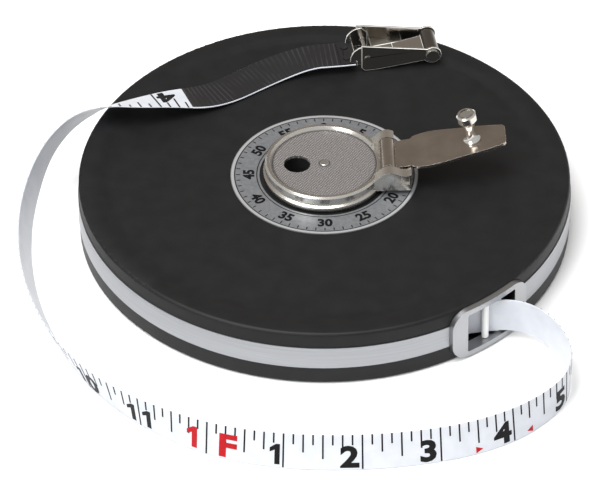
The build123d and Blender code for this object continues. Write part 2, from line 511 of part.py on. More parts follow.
with BuildPart() as crank_plate:
    with BuildSketch(Plane.XZ):
        with BuildLine():
            Polyline(
                (0, PLATE_BOTTOM), (PLATE_FLANGE_RADIUS, PLATE_BOTTOM), (PLATE_FLANGE_RADIUS, PLATE_FLANGE_TOP),
                (PLATE_GROOVE_RADIUS, PLATE_GROOVE_HEIGHT), (PLATE_RIM_RADIUS, PLATE_GROOVE_HEIGHT + 0.7),
                (PLATE_RIM_RADIUS, PLATE_RIM_TOP - 0.6), (PLATE_RIM_RADIUS - 0.6, PLATE_RIM_TOP),
                (PLATE_RIM_INNER + 0.5, PLATE_RIM_TOP), (PLATE_RIM_INNER, PLATE_RIM_TOP - 0.6),
                (PLATE_RIM_INNER - 0.3, PLATE_FACE), (0, PLATE_FACE), (0, PLATE_BOTTOM),
            )
        make_face()
    revolve(axis=Axis.Z)
    # the neck flares from the round plate to the ears
    with BuildSketch(crank_level.offset(NECK_BOTTOM)):
        with BuildLine():
            Polyline(
                (NECK_SHOULDER, EAR_OUTER), (NECK_END, EAR_OUTER), (NECK_END, -EAR_OUTER), (NECK_SHOULDER, -EAR_OUTER),
            )
            Spline((NECK_SHOULDER, -EAR_OUTER), (12.0, -13.6), (NECK_ROOT, -NECK_ROOT_HALF_WIDTH))
            Line((NECK_ROOT, -NECK_ROOT_HALF_WIDTH), (NECK_ROOT, NECK_ROOT_HALF_WIDTH))
            Spline((NECK_ROOT, NECK_ROOT_HALF_WIDTH), (12.0, 13.6), (NECK_SHOULDER, EAR_OUTER))
        make_face()
    extrude(amount=NECK_TOP - NECK_BOTTOM)
    # the ears rise round the hinge and end square
    for first_side in (EAR_INNER, -EAR_OUTER):
        with BuildSketch(crank_side.offset(first_side)):
            with BuildLine():
                Polyline(
                    (NECK_END, EAR_END_TOP), (NECK_END, NECK_BOTTOM), (EAR_START, NECK_BOTTOM),
                    (EAR_START, PLATE_RIM_TOP - 0.4),
                )
                Spline(
                    (EAR_START, PLATE_RIM_TOP - 0.4), (HINGE_DISTANCE - 3.4, PLATE_RIM_TOP + 1.2),
                    (HINGE_DISTANCE, EAR_TOP), (HINGE_DISTANCE + 3.4, EAR_END_TOP - 0.3), (NECK_END, EAR_END_TOP),
                )
            make_face()
        extrude(amount=EAR_OUTER - EAR_INNER)
    # the rear ear ends close behind the pin, above the neck
    with BuildSketch(crank_level.offset(NECK_TOP)):
        with Locations(((REAR_EAR_END + NECK_END + 1) / 2, (EAR_INNER + EAR_OUTER) / 2)):
            Rectangle(NECK_END + 1 - REAR_EAR_END, EAR_OUTER - EAR_INNER + 1)
    extrude(amount=EAR_TOP, mode=Mode.SUBTRACT)
    with BuildSketch(crank_side.offset(EAR_OUTER - EAR_POCKET_DEPTH)):
        with Locations(EAR_POCKET_CENTRE):
            Rectangle(EAR_POCKET_WIDTH, EAR_POCKET_HEIGHT)
    extrude(amount=2 * EAR_POCKET_DEPTH, mode=Mode.SUBTRACT)
    # the hollow underneath takes the drum's journal
    with BuildSketch(Plane.XY.offset(PLATE_BOTTOM)):
        Circle(FRONT_JOURNAL_RADIUS)
    extrude(amount=DRUM_TOP - PLATE_BOTTOM, mode=Mode.SUBTRACT)
    # the rim is cut away where the handle's barrel turns
    with BuildSketch(crank_level.offset(PLATE_FACE)):
        with Locations(((NOTCH_START + NECK_END) / 2, 0)):
            Rectangle(NECK_END - NOTCH_START, 2 * EAR_INNER)
    extrude(amount=EAR_TOP, mode=Mode.SUBTRACT)
    with BuildSketch(crank_level.offset(NECK_TOP)):
        with Locations(((HINGE_DISTANCE - BARREL_RADIUS - 0.3 + NECK_END) / 2, 0)):
            Rectangle(NECK_END - HINGE_DISTANCE + BARREL_RADIUS + 0.3, 2 * EAR_INNER)
    extrude(amount=EAR_TOP, mode=Mode.SUBTRACT)
    # a lip across the neck's end carries the open handle
    with BuildSketch(crank_level.offset(NECK_TOP)):
        with Locations((NECK_END - STOP_LIP / 2, 0)):
            Rectangle(STOP_LIP, 2 * EAR_INNER)
    extrude(amount=STOP_LIP_TOP - NECK_TOP)
    for azimuth in lug_azimuths:
        with BuildSketch(turned_plane(azimuth, DRIVE_LUG_CIRCLE, DRUM_TOP)):
            Circle(DRIVE_LUG_RADIUS)
        extrude(amount=-DRIVE_LUG_LENGTH)
    with BuildSketch(well_plane.offset(DRUM_TOP)):
        Circle(KNOB_HOLE_RADIUS)
    extrude(amount=2 * PLATE_SHEET, mode=Mode.SUBTRACT)
    with BuildSketch(Plane.XY.offset(DRUM_TOP)):
        Circle(AXLE_HEAD_RADIUS)
    extrude(amount=2 * PLATE_SHEET, mode=Mode.SUBTRACT)
    with BuildSketch(crank_side.offset(-EAR_OUTER)):
        with Locations((HINGE_DISTANCE, HINGE_HEIGHT)):
            Circle(HINGE_PIN_RADIUS)
    extrude(amount=2 * EAR_OUTER, mode=Mode.SUBTRACT)
save(crank_plate.part, "crank_plate")

with BuildPart() as handle_hinge_pin:
    with BuildSketch(crank_side.offset(-EAR_OUTER)):
        with Locations((HINGE_DISTANCE, HINGE_HEIGHT)):
            Circle(HINGE_PIN_RADIUS)
    extrude(amount=2 * EAR_OUTER)
save(handle_hinge_pin.part, "handle_hinge_pin")

# ---- Handle and knob ----------------------------------------------------------------------------------------------

with BuildPart() as crank_handle:
    with BuildSketch(leaf_level.offset(-HANDLE_THICKNESS / 2)) as leaf:
        for side in (1, -1):
            with BuildLine():
                Polyline(
                    (HANDLE_LENGTH, 0), (0, 0), (0, side * HANDLE_ROOT_HALF_WIDTH),
                    (HANDLE_SHOULDER_AT, side * HANDLE_ROOT_HALF_WIDTH),
                    (HANDLE_SHOULDER_AT + 0.8, side * HANDLE_SHOULDER_HALF_WIDTH),
                )
                Spline(
                    (HANDLE_SHOULDER_AT + 0.8, side * HANDLE_SHOULDER_HALF_WIDTH),
                    (HANDLE_WAIST_AT, side * HANDLE_WAIST_HALF_WIDTH),
                    (HANDLE_LENGTH * 0.6, side * (HANDLE_TIP_HALF_WIDTH + 3.0)),
                    (HANDLE_LENGTH * 0.8, side * (HANDLE_TIP_HALF_WIDTH + 1.9)),
                    (HANDLE_LENGTH, side * HANDLE_TIP_HALF_WIDTH),
                )
                Line((HANDLE_LENGTH, side * HANDLE_TIP_HALF_WIDTH), (HANDLE_LENGTH, 0))
            make_face()
        fillet(leaf.vertices().sort_by(Axis.X)[-2:], HANDLE_TIP_CORNER)
    extrude(amount=HANDLE_THICKNESS)
    with BuildSketch(leaf_side.offset(-BARREL_HALF_WIDTH)):
        Circle(BARREL_RADIUS)
    extrude(amount=2 * BARREL_HALF_WIDTH)
    with BuildSketch(leaf_side.offset(-BARREL_HALF_WIDTH)):
        Circle(HINGE_PIN_RADIUS + HINGE_CLEARANCE)
    extrude(amount=2 * BARREL_HALF_WIDTH, mode=Mode.SUBTRACT)
    with BuildSketch(leaf_level.offset(-HANDLE_THICKNESS)):
        with Locations((KNOB_REACH, 0)):
            Circle(STEM_RADIUS)
    extrude(amount=2 * HANDLE_THICKNESS, mode=Mode.SUBTRACT)
save(crank_handle.part, "crank_handle")

knob_axis_point = leaf_level.from_local_coords(Vector(KNOB_REACH, 0, 0))
knob_side = Plane(origin=knob_axis_point, x_dir=leaf_level.x_dir, z_dir=leaf_side.z_dir)
knob_axis = Axis(knob_axis_point, leaf_normal)
knob_foot = HANDLE_THICKNESS / 2 + KNOB_GAP
knob_top = knob_foot + KNOB_HEIGHT
stem_bore = STEM_RADIUS + STEM_CLEARANCE

with BuildPart() as crank_knob:
    with BuildSketch(knob_side):
        with BuildLine():
            Polyline(
                (stem_bore, knob_top - KNOB_RECESS_DEPTH), (stem_bore, knob_foot), (KNOB_BASE_RADIUS, knob_foot),
                (KNOB_BASE_RADIUS, knob_foot + KNOB_BASE_EDGE),
            )
            Spline(
                (KNOB_BASE_RADIUS, knob_foot + KNOB_BASE_EDGE), (KNOB_WAIST_RADIUS + 0.25, knob_foot + 2.0),
                (KNOB_WAIST_RADIUS, knob_foot + KNOB_WAIST_HEIGHT), (KNOB_WAIST_RADIUS + 0.6, knob_foot + 6.6),
                (KNOB_HEAD_RADIUS - 0.2, knob_top - KNOB_HEAD_HEIGHT),
            )
            Polyline(
                (KNOB_HEAD_RADIUS - 0.2, knob_top - KNOB_HEAD_HEIGHT), (KNOB_HEAD_RADIUS, knob_top - KNOB_HEAD_HEIGHT + 0.3),
                (KNOB_HEAD_RADIUS, knob_top - 0.5), (KNOB_HEAD_RADIUS - 0.5, knob_top),
                (KNOB_RECESS_RADIUS, knob_top), (KNOB_RECESS_RADIUS, knob_top - KNOB_RECESS_DEPTH),
                (stem_bore, knob_top - KNOB_RECESS_DEPTH),
            )
        make_face()
    revolve(axis=knob_axis)
save(crank_knob.part, "crank_knob")

with BuildPart() as knob_stem:
    with BuildSketch(leaf_level.offset(-HANDLE_THICKNESS / 2 - STEM_HEAD_THICKNESS)):
        with Locations((KNOB_REACH, 0)):
            Circle(STEM_HEAD_RADIUS)
    extrude(amount=STEM_HEAD_THICKNESS)
    with BuildSketch(leaf_level.offset(-HANDLE_THICKNESS / 2)):
        with Locations((KNOB_REACH, 0)):
            Circle(STEM_RADIUS)
    extrude(amount=HANDLE_THICKNESS / 2 + knob_top - KNOB_RECESS_DEPTH + KNOB_GAP)
    with BuildSketch(leaf_level.offset(knob_top - KNOB_RECESS_DEPTH + KNOB_GAP)):
        with Locations((KNOB_REACH, 0)):
            Circle(STEM_HEAD_RADIUS)
    extrude(amount=STEM_HEAD_THICKNESS)
save(knob_stem.part, "knob_stem")

# ---- Mouthpiece and its rollers ---------------------------------------------------------------------------------------

flange_outer = INNER_RADIUS - MOUTH_FIT
with BuildPart() as mouth_frame:
    add(mouth_block(MOUTH_WIDTH, MOUTH_HEIGHT, MOUTH_CORNER, INNER_RADIUS + MOUTH_FIT, MOUTH_OUTER_RADIUS))
    # a thinner flange behind the case wall keeps the mouthpiece from pulling out
    add(mouth_block(
        MOUTH_FLANGE_WIDTH, MOUTH_FLANGE_HEIGHT, SLOT_CORNER, flange_outer - MOUTH_FLANGE_THICKNESS, flange_outer
    ))
    # the flange and the face join in a neck inside the cut-out
    add(mouth_block(
        MOUTH_WIDTH - MOUTH_CORNER, MOUTH_FLANGE_HEIGHT, SLOT_CORNER, flange_outer, INNER_RADIUS + MOUTH_FIT
    ))
    with BuildSketch(mouth_face):
        RectangleRounded(SLOT_WIDTH, SLOT_HEIGHT, SLOT_CORNER)
    extrude(amount=30, mode=Mode.SUBTRACT)
    for azimuth in ROLLER_AZIMUTHS.values():
        with BuildSketch(turned_plane(azimuth, ROLLER_CIRCLE, CASE_HEIGHT / 2 - SLOT_HEIGHT / 2 - ROLLER_PIN_SEAT)):
            Circle(ROLLER_PIN_RADIUS)
        extrude(amount=SLOT_HEIGHT + 2 * ROLLER_PIN_SEAT, mode=Mode.SUBTRACT)
save(mouth_frame.part, "mouth_frame")

with BuildPart() as roller_pins:
    for azimuth in ROLLER_AZIMUTHS.values():
        with BuildSketch(turned_plane(azimuth, ROLLER_CIRCLE, CASE_HEIGHT / 2 - SLOT_HEIGHT / 2 - ROLLER_PIN_SEAT)):
            Circle(ROLLER_PIN_RADIUS)
        extrude(amount=SLOT_HEIGHT + 2 * ROLLER_PIN_SEAT)
save(roller_pins.part, "roller_pins")

for roller_name, azimuth in ROLLER_AZIMUTHS.items():
    with BuildPart() as roller:
        with BuildSketch(turned_plane(azimuth, ROLLER_CIRCLE, CASE_HEIGHT / 2 - ROLLER_LENGTH / 2)):
            Circle(ROLLER_RADIUS)
            Circle(ROLLER_PIN_RADIUS + ROLLER_CLEARANCE, mode=Mode.SUBTRACT)
        extrude(amount=ROLLER_LENGTH)
    save(roller.part, roller_name)

# ---- The drawn-out tape -----------------------------------------------------------------------------------------------


def blend(start, turn, end, t):
    """A point of the curve that leaves start towards turn and arrives at end from turn."""
    return tuple((1 - t) ** 2 * a + 2 * t * (1 - t) * b + t**2 * c for a, b, c in zip(start, turn, end))


def slope(start, turn, end, t):
    """The direction of that curve."""
    return Vector(*(2 * (1 - t) * (b - a) + 2 * t * (c - b) for a, b, c in zip(start[:3], turn[:3], end[:3])))


def middle(a, b):
    return tuple((p + q) / 2 for p, q in zip(a, b))


def route_sections(first_span, last_span, steps):
    """Planes across the tape: X along its width, Z along its route, for a run of spans."""
    sections = []
    for span in range(first_span, last_span):
        turn = TAPE_ROUTE[span + 1]
        start = TAPE_ROUTE[0] if span == 0 else middle(TAPE_ROUTE[span], turn)
        end = TAPE_ROUTE[-1] if span == len(TAPE_ROUTE) - 3 else middle(turn, TAPE_ROUTE[span + 2])
        for step in range(0 if span == first_span else 1, steps + 1):
            t = step / steps
            x, y, z, lean = blend(start, turn, end, t)
            along = slope(start, turn, end, t).normalized()
            outward = Vector(-along.Y, along.X, 0).normalized()
            upward = along.cross(outward)
            across = upward * cos(radians(lean)) + outward * sin(radians(lean))
            sections.append(Plane(origin=(x, y, z), x_dir=across, z_dir=along))
    return sections


span_count = len(TAPE_ROUTE) - 2
route_start = Vector(*TAPE_ROUTE[0][:3])
first_run = (Vector(*TAPE_ROUTE[1][:3]) - route_start).normalized()
feed_length = route_start.dot(first_run)            # back to where the tape leaves the coil
feed_start = route_start - first_run * feed_length

with BuildPart() as tape_feed:
    with BuildSketch(Plane(origin=feed_start, x_dir=(0, 0, 1), z_dir=first_run)):
        Rectangle(TAPE_WIDTH, TAPE_THICKNESS)
    extrude(amount=feed_length)
save(tape_feed.part, "tape_feed")

blade_sections = route_sections(0, span_count - LEADER_SPANS, SECTIONS_PER_SPAN)
with BuildPart() as tape_blade:
    for section in blade_sections:
        with BuildSketch(section):
            Rectangle(TAPE_WIDTH, TAPE_THICKNESS)
    loft(ruled=True)
save(tape_blade.part, "tape_blade")

leader_sections = route_sections(span_count - LEADER_SPANS, span_count, SECTIONS_PER_SPAN)
with BuildPart() as tape_leader:
    for section in leader_sections:
        with BuildSketch(section):
            Rectangle(TAPE_WIDTH, LEADER_THICKNESS)
    loft(ruled=True)
    with BuildSketch(end_level.offset(route_end.Z - LEADER_THICKNESS)):
        with Locations((-RIVET_SETBACK, -RIVET_SPACING / 2), (-RIVET_SETBACK, RIVET_SPACING / 2)):
            Circle(RIVET_RADIUS)
    extrude(amount=2 * LEADER_THICKNESS, mode=Mode.SUBTRACT)
save(tape_leader.part, "tape_leader")

blade_length = sum((b.origin - a.origin).length for a, b in zip(blade_sections, blade_sections[1:]))
leader_length = sum((b.origin - a.origin).length for a, b in zip(leader_sections, leader_sections[1:]))
print("free blade", round(blade_length, 1), "leader", round(leader_length, 1))
print("blade volume against section times length",
      round(tape_blade.part.volume / (TAPE_WIDTH * TAPE_THICKNESS * blade_length), 4))
print("coil radius", round(COIL_OUTER_RADIUS, 2), "distance of the feed from the axis",
      round(hypot(feed_start.X, feed_start.Y), 2))

# ---- End fitting: clip, yoke and folding hook ---------------------------------------------------------------------------

clip_bottom = route_end.Z - LEADER_THICKNESS / 2 - CLIP_SHEET
clip_top = route_end.Z + LEADER_THICKNESS / 2 + CLIP_SHEET
rivet_places = [(-RIVET_SETBACK, -RIVET_SPACING / 2), (-RIVET_SETBACK, RIVET_SPACING / 2)]

with BuildPart() as leader_clip:
    # two leaves folded round the leader's end
    with BuildSketch(end_level.offset(clip_bottom)):
        with Locations(((CLIP_FOLD - CLIP_LENGTH) / 2, 0)):
            Rectangle(CLIP_LENGTH + CLIP_FOLD, 2 * CLIP_HALF_WIDTH)
    extrude(amount=clip_top - clip_bottom)
    with BuildSketch(end_level.offset(clip_bottom + CLIP_SHEET)):
        with Locations((-CLIP_LENGTH / 2, 0)):
            Rectangle(CLIP_LENGTH, 4 * CLIP_HALF_WIDTH)
    extrude(amount=LEADER_THICKNESS, mode=Mode.SUBTRACT)
    # two cheeks, rounded at the back, that carry the yoke's pin
    for first_side in (CHEEK_INNER, -CHEEK_OUTER):
        with BuildSketch(end_side.offset(first_side)):
            with BuildLine():
                Polyline((CHEEK_FRONT, CHEEK_TOP - 2), (CHEEK_FRONT, clip_bottom), (CLIP_FOLD, clip_bottom))
                Polyline((CLIP_FOLD, clip_bottom), (CLIP_FOLD, clip_top), (CHEEK_BACK, clip_top))
                Line((CHEEK_BACK, clip_top), (CHEEK_BACK, CHEEK_TOP - CHEEK_ROUND))
                ThreePointArc(
                    (CHEEK_BACK, CHEEK_TOP - CHEEK_ROUND),
                    (CHEEK_BACK + CHEEK_ROUND * (1 - cos(pi / 4)), CHEEK_TOP - CHEEK_ROUND * (1 - sin(pi / 4))),
                    (CHEEK_BACK + CHEEK_ROUND, CHEEK_TOP),
                )
                Polyline(
                    (CHEEK_BACK + CHEEK_ROUND, CHEEK_TOP), (CHEEK_FRONT - 2, CHEEK_TOP), (CHEEK_FRONT, CHEEK_TOP - 2)
                )
            make_face()
        extrude(amount=CHEEK_OUTER - CHEEK_INNER)
    with BuildSketch(end_side.offset(-CHEEK_OUTER)):
        with Locations((YOKE_PIVOT, YOKE_PIVOT_HEIGHT)):
            Circle(YOKE_PIN_RADIUS)
    extrude(amount=2 * CHEEK_OUTER, mode=Mode.SUBTRACT)
    with BuildSketch(end_level.offset(clip_bottom)):
        with Locations(*rivet_places):
            Circle(RIVET_RADIUS)
    extrude(amount=clip_top - clip_bottom, mode=Mode.SUBTRACT)
save(leader_clip.part, "leader_clip")

with BuildPart() as clip_rivets:
    with BuildSketch(end_level.offset(clip_bottom)):
        with Locations(*rivet_places):
            Circle(RIVET_RADIUS)
    extrude(amount=clip_top - clip_bottom)
    for height, rise in ((clip_top, RIVET_HEAD_HEIGHT), (clip_bottom, -RIVET_HEAD_HEIGHT)):
        with BuildSketch(end_level.offset(height)):
            with Locations(*rivet_places):
                Circle(RIVET_HEAD_RADIUS)
        extrude(amount=rise)
save(clip_rivets.part, "clip_rivets")

yoke_outer = YOKE_INNER + YOKE_SHEET


yoke_pin_half = yoke_outer + YOKE_SIDE_GAP
with BuildPart() as yoke_pin:
    with BuildSketch(end_side.offset(-yoke_pin_half)):
        with Locations((YOKE_PIVOT, YOKE_PIVOT_HEIGHT)):
            Circle(YOKE_PIN_RADIUS)
    extrude(amount=2 * yoke_pin_half)
    for first_side in (yoke_pin_half, -yoke_pin_half - YOKE_PIN_HEAD):
        with BuildSketch(end_side.offset(first_side)):
            with Locations((YOKE_PIVOT, YOKE_PIVOT_HEIGHT)):
                Circle(YOKE_PIN_HEAD_RADIUS)
        extrude(amount=YOKE_PIN_HEAD)
save(yoke_pin.part, "yoke_pin")

with BuildPart() as end_yoke:
    for first_side in (YOKE_INNER, -yoke_outer):
        with BuildSketch(end_side.offset(first_side)):
            Polygon(
                (YOKE_BACK, YOKE_TOP), (YOKE_BACK, YOKE_BOTTOM + 1.2), (YOKE_BACK + 1.2, YOKE_BOTTOM),
                (YOKE_WEB_START, YOKE_BOTTOM), (YOKE_NECK_AT, YOKE_NECK_BOTTOM),
                (HOOK_PIVOT, HOOK_PIVOT_HEIGHT - 1), (HOOK_PIVOT, YOKE_NECK_TOP),
                align=None,
            )
            with Locations((HOOK_PIVOT, HOOK_PIVOT_HEIGHT)):
                Circle(KNUCKLE_RADIUS)
        extrude(amount=YOKE_SHEET)
    web_slope = (YOKE_NECK_BOTTOM - YOKE_BOTTOM) / (YOKE_NECK_AT - YOKE_WEB_START)
    web_rise = web_slope * (YOKE_WEB_END - YOKE_WEB_START)
    with BuildSketch(end_side.offset(-YOKE_INNER)):
        Polygon(
            (YOKE_WEB_START, YOKE_BOTTOM), (YOKE_WEB_END, YOKE_BOTTOM + web_rise),
            (YOKE_WEB_END, YOKE_BOTTOM + web_rise + YOKE_SHEET), (YOKE_WEB_START, YOKE_BOTTOM + YOKE_SHEET),
            align=None,
        )
    extrude(amount=2 * YOKE_INNER)
    for place, height, radius in (
        (YOKE_PIVOT, YOKE_PIVOT_HEIGHT, YOKE_PIN_RADIUS),
        (HOOK_PIVOT, HOOK_PIVOT_HEIGHT, HOOK_PIN_RADIUS - FITTING_CLEARANCE),
    ):
        with BuildSketch(end_side.offset(-yoke_outer)):
            with Locations((place, height)):
                Circle(radius + FITTING_CLEARANCE)
        extrude(amount=2 * yoke_outer, mode=Mode.SUBTRACT)
save(end_yoke.part, "end_yoke")

with BuildPart() as hook_pin:
    with BuildSketch(end_side.offset(-yoke_outer)):
        with Locations((HOOK_PIVOT, HOOK_PIVOT_HEIGHT)):
            Circle(HOOK_PIN_RADIUS)
    extrude(amount=2 * yoke_outer)
    for first_side in (yoke_outer, -yoke_outer - HOOK_PIN_HEAD):
        with BuildSketch(end_side.offset(first_side)):
            with Locations((HOOK_PIVOT, HOOK_PIVOT_HEIGHT)):
                Circle(HOOK_PIN_HEAD_RADIUS)
        extrude(amount=HOOK_PIN_HEAD)
save(hook_pin.part, "hook_pin")

hook_half = YOKE_INNER - HOOK_SIDE_GAP
with BuildPart() as end_hook:
    with BuildSketch(end_level.offset(HOOK_PLATE_HEIGHT - HOOK_SHEET / 2)):
        Polygon(
            (HOOK_PIVOT, -hook_half), (HOOK_PIVOT, hook_half), (HOOK_SHOULDER_AT, HOOK_SHOULDER),
            (HOOK_TIP_AT, HOOK_TIP_WIDTH - hook_half), (HOOK_TIP_AT, -hook_half),
            align=None,
        )
    extrude(amount=HOOK_SHEET)
    with BuildSketch(end_level.offset(HOOK_PLATE_HEIGHT - HOOK_SHEET / 2)):
        with Locations((HOOK_TIP_AT + HOOK_SHEET / 2, HOOK_TIP_WIDTH / 2 - hook_half)):
            Rectangle(HOOK_SHEET, HOOK_TIP_WIDTH)
    extrude(amount=-HOOK_CLAW_DROP)
    with BuildSketch(end_side.offset(-hook_half)):
        with Locations((HOOK_PIVOT, HOOK_PIVOT_HEIGHT)):
            Circle(HOOK_BARREL_RADIUS)
    extrude(amount=2 * hook_half)
    with BuildSketch(end_side.offset(-hook_half)):
        with Locations((HOOK_PIVOT, HOOK_PIVOT_HEIGHT)):
            Circle(HOOK_PIN_RADIUS + FITTING_CLEARANCE)
    extrude(amount=2 * hook_half, mode=Mode.SUBTRACT)
save(end_hook.part, "end_hook")
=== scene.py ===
# %% [markdown]
# # A closed-reel measuring tape, drawn out in a loop
# The solid parts come from the CAD model, and this lesson gives them their looks. We load that model first.

# %% The imported model
import json
from math import cos, pi, radians, sin

import bmesh
import bpy
import numpy as np
from mathutils import Matrix, Vector

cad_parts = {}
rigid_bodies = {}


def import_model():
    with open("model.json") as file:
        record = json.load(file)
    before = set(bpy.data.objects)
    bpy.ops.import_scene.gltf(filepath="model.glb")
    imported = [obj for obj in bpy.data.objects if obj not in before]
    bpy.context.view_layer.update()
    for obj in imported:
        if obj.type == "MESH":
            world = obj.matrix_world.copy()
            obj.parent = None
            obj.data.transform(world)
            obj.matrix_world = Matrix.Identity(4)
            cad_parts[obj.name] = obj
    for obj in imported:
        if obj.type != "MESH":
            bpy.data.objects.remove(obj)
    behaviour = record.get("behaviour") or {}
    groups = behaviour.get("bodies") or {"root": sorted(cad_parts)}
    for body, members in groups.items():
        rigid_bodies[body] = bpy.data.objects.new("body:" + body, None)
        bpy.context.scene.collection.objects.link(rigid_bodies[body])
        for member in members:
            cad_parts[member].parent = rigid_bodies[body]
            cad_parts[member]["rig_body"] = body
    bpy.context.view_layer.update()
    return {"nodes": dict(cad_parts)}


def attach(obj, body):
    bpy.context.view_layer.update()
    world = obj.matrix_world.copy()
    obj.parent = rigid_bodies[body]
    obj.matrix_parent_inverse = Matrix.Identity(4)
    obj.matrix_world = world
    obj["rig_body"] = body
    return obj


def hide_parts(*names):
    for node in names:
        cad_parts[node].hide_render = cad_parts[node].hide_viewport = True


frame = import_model()
NODES = frame["nodes"]
MM = 0.001

# %% [markdown]
# The camera comes first, because the tape's free length has to lie where the camera sees it. It is a long lens,
# taken to stand two metres away, so the round case keeps its shape. We build its rotation from three unit vectors:
# right, up, and back from what it looks at.

# %% Camera
LENS = 356.5
ELEVATION = 0.6951975
ROLL = -0.0065761
DISTANCE = 2.0
AIM = (-0.0082987, -0.0067620)      # how far the aim is moved along the camera's own right and up
SENSOR_WIDTH = 36

back = Vector((0, -cos(ELEVATION), sin(ELEVATION)))
level_right = Vector((1, 0, 0))
level_up = Vector((0, sin(ELEVATION), cos(ELEVATION)))
right = level_right * cos(ROLL) + level_up * sin(ROLL)
up = level_up * cos(ROLL) - level_right * sin(ROLL)

camera_data = bpy.data.cameras.new("catalogue_camera")
camera_data.lens = LENS
camera_data.sensor_width = SENSOR_WIDTH
camera_data.clip_end = 20
camera = bpy.data.objects.new("catalogue_camera", camera_data)
bpy.context.scene.collection.objects.link(camera)
camera.matrix_world = Matrix.Translation(back * DISTANCE + level_right * AIM[0] + level_up * AIM[1]) @ Matrix(
    (right, up, back)).transposed().to_4x4()
bpy.context.scene.camera = camera
print("camera at", camera.matrix_world.translation)

# %% [markdown]
# ## The drawn-out tape
# A measuring tape is a flat strip that keeps its width and turns over as it runs. We give a NURBS spline the same
# route as the CAD strip, and a second spline of as many points carries how far the strip leans at each place. Both
# are evaluated alike, so one sample of each belongs together.

# %% Route of the tape: x, y, z in metres, and the lean of its upper edge in degrees
TAPE_ROUTE = [
    (0.0471, -0.06168, 0.0100, 0), (0.0520, -0.0606, 0.0100, 0), (0.0620, -0.0593, 0.0098, 0),
    (0.0710, -0.0640, 0.0093, 1), (0.0770, -0.0730, 0.0084, 2), (0.0800, -0.0830, 0.0074, 1),
    (0.0780, -0.0930, 0.0068, 0), (0.0710, -0.1020, 0.0066, -3), (0.0600, -0.1110, 0.0066, -8),
    (0.0440, -0.1180, 0.0065, -10), (0.0250, -0.1220, 0.0065, -11), (0.0040, -0.1235, 0.0065, -12),
    (-0.0175, -0.1220, 0.0065, -11), (-0.0370, -0.1170, 0.0066, -6), (-0.0530, -0.1085, 0.0066, 2),
    (-0.0670, -0.0980, 0.0065, 12), (-0.0790, -0.0845, 0.0064, 19), (-0.0885, -0.0680, 0.0065, 24),
    (-0.0960, -0.0485, 0.0072, 23), (-0.1000, -0.0275, 0.0086, 20), (-0.1000, -0.0070, 0.0110, 14),
    (-0.0965, 0.0100, 0.0146, 5), (-0.0915, 0.0215, 0.0184, -11), (-0.0840, 0.0285, 0.0226, -30),
    (-0.0740, 0.0315, 0.0256, -50), (-0.0625, 0.0330, 0.0258, -66), (-0.0510, 0.0365, 0.0246, -79),
    (-0.0415, 0.0395, 0.0226, -88), (-0.0335, 0.0440, 0.0216, -91), (-0.0250, 0.0505, 0.0215, -92),
    (-0.0150, 0.0568, 0.0221, -92), (-0.0045, 0.0600, 0.0239, -90), (0.0037, 0.06075, 0.0239, -90),
    (0.0102, 0.0618, 0.0239, -90),
]
SAMPLES_PER_POINT = 10
LEADER_SPANS = 6


def spline_samples(points, name):
    """Points read along a NURBS spline that has these control points."""
    data = bpy.data.curves.new(name, "CURVE")
    data.dimensions = "3D"
    spline = data.splines.new("NURBS")
    spline.points.add(len(points) - 1)
    for control, place in zip(spline.points, points):
        control.co = (*place, 1)
    spline.order_u = 3
    spline.use_endpoint_u = True
    data.resolution_u = SAMPLES_PER_POINT
    curve = bpy.data.objects.new(name, data)
    bpy.context.scene.collection.objects.link(curve)
    line = bpy.data.meshes.new_from_object(curve.evaluated_get(bpy.context.evaluated_depsgraph_get()))
    samples = np.array([v.co for v in line.vertices], float)
    bpy.data.objects.remove(curve)
    return samples


centre = spline_samples([p[:3] for p in TAPE_ROUTE], "tape_line")
lean = np.radians(spline_samples([(p[3] / 100, 0, 0) for p in TAPE_ROUTE], "tape_lean")[:, 0] * 100)
along = np.gradient(centre, axis=0)
along /= np.linalg.norm(along, axis=1)[:, None]
outward = np.stack([-along[:, 1], along[:, 0], np.zeros(len(along))], 1)
outward /= np.linalg.norm(outward, axis=1)[:, None]
upward = np.cross(along, outward)
across = np.cos(lean)[:, None] * upward + np.sin(lean)[:, None] * outward
printed_side = -np.cross(along, across)
steps = np.linalg.norm(np.diff(centre, axis=0), axis=1)
from_mouth = np.concatenate([[0], np.cumsum(steps)])
TAPE_LENGTH = from_mouth[-1]
from_hook = TAPE_LENGTH - from_mouth
leader_share = 1 - LEADER_SPANS / (len(TAPE_ROUTE) - 2)
leader_from_mouth = float(np.interp(leader_share * (len(centre) - 1), np.arange(len(centre)), from_mouth))
LEADER_START = TAPE_LENGTH - leader_from_mouth
print("tape drawn out", round(TAPE_LENGTH, 4), "leader", round(LEADER_START, 4))

# %% [markdown]
# Everything on the tape is drawn flat first, in distance from the hook end and distance across, and then bent on to
# the strip. One function does the bending, for the strip itself, its ticks and its figures.

# %% Bending flat work on to the tape
TAPE_WIDTH = 13.0 * MM
BLADE_THICKNESS = 0.4 * MM
LEADER_THICKNESS = 0.6 * MM
COLUMNS = 8                 # faces across the strip, so that it stays smooth where it twists
SOFT_EDGE = 0.35            # of the thickness, taken off each long edge
SHARP_ANGLE = 35            # degrees, from which an edge is drawn sharp


def on_tape(distance, height, lift):
    """Places, in the row frame, of flat points: metres from the hook end, across from the lower edge, and proud."""
    order = slice(None, None, -1)
    read = lambda values: np.stack(
        [np.interp(distance, from_hook[order], values[order, k]) for k in range(3)], 1)
    side = read(across)
    side /= np.linalg.norm(side, axis=1)[:, None]
    proud = read(printed_side)
    proud /= np.linalg.norm(proud, axis=1)[:, None]
    return read(centre) + side * (height - TAPE_WIDTH / 2)[:, None] + proud * lift[:, None]


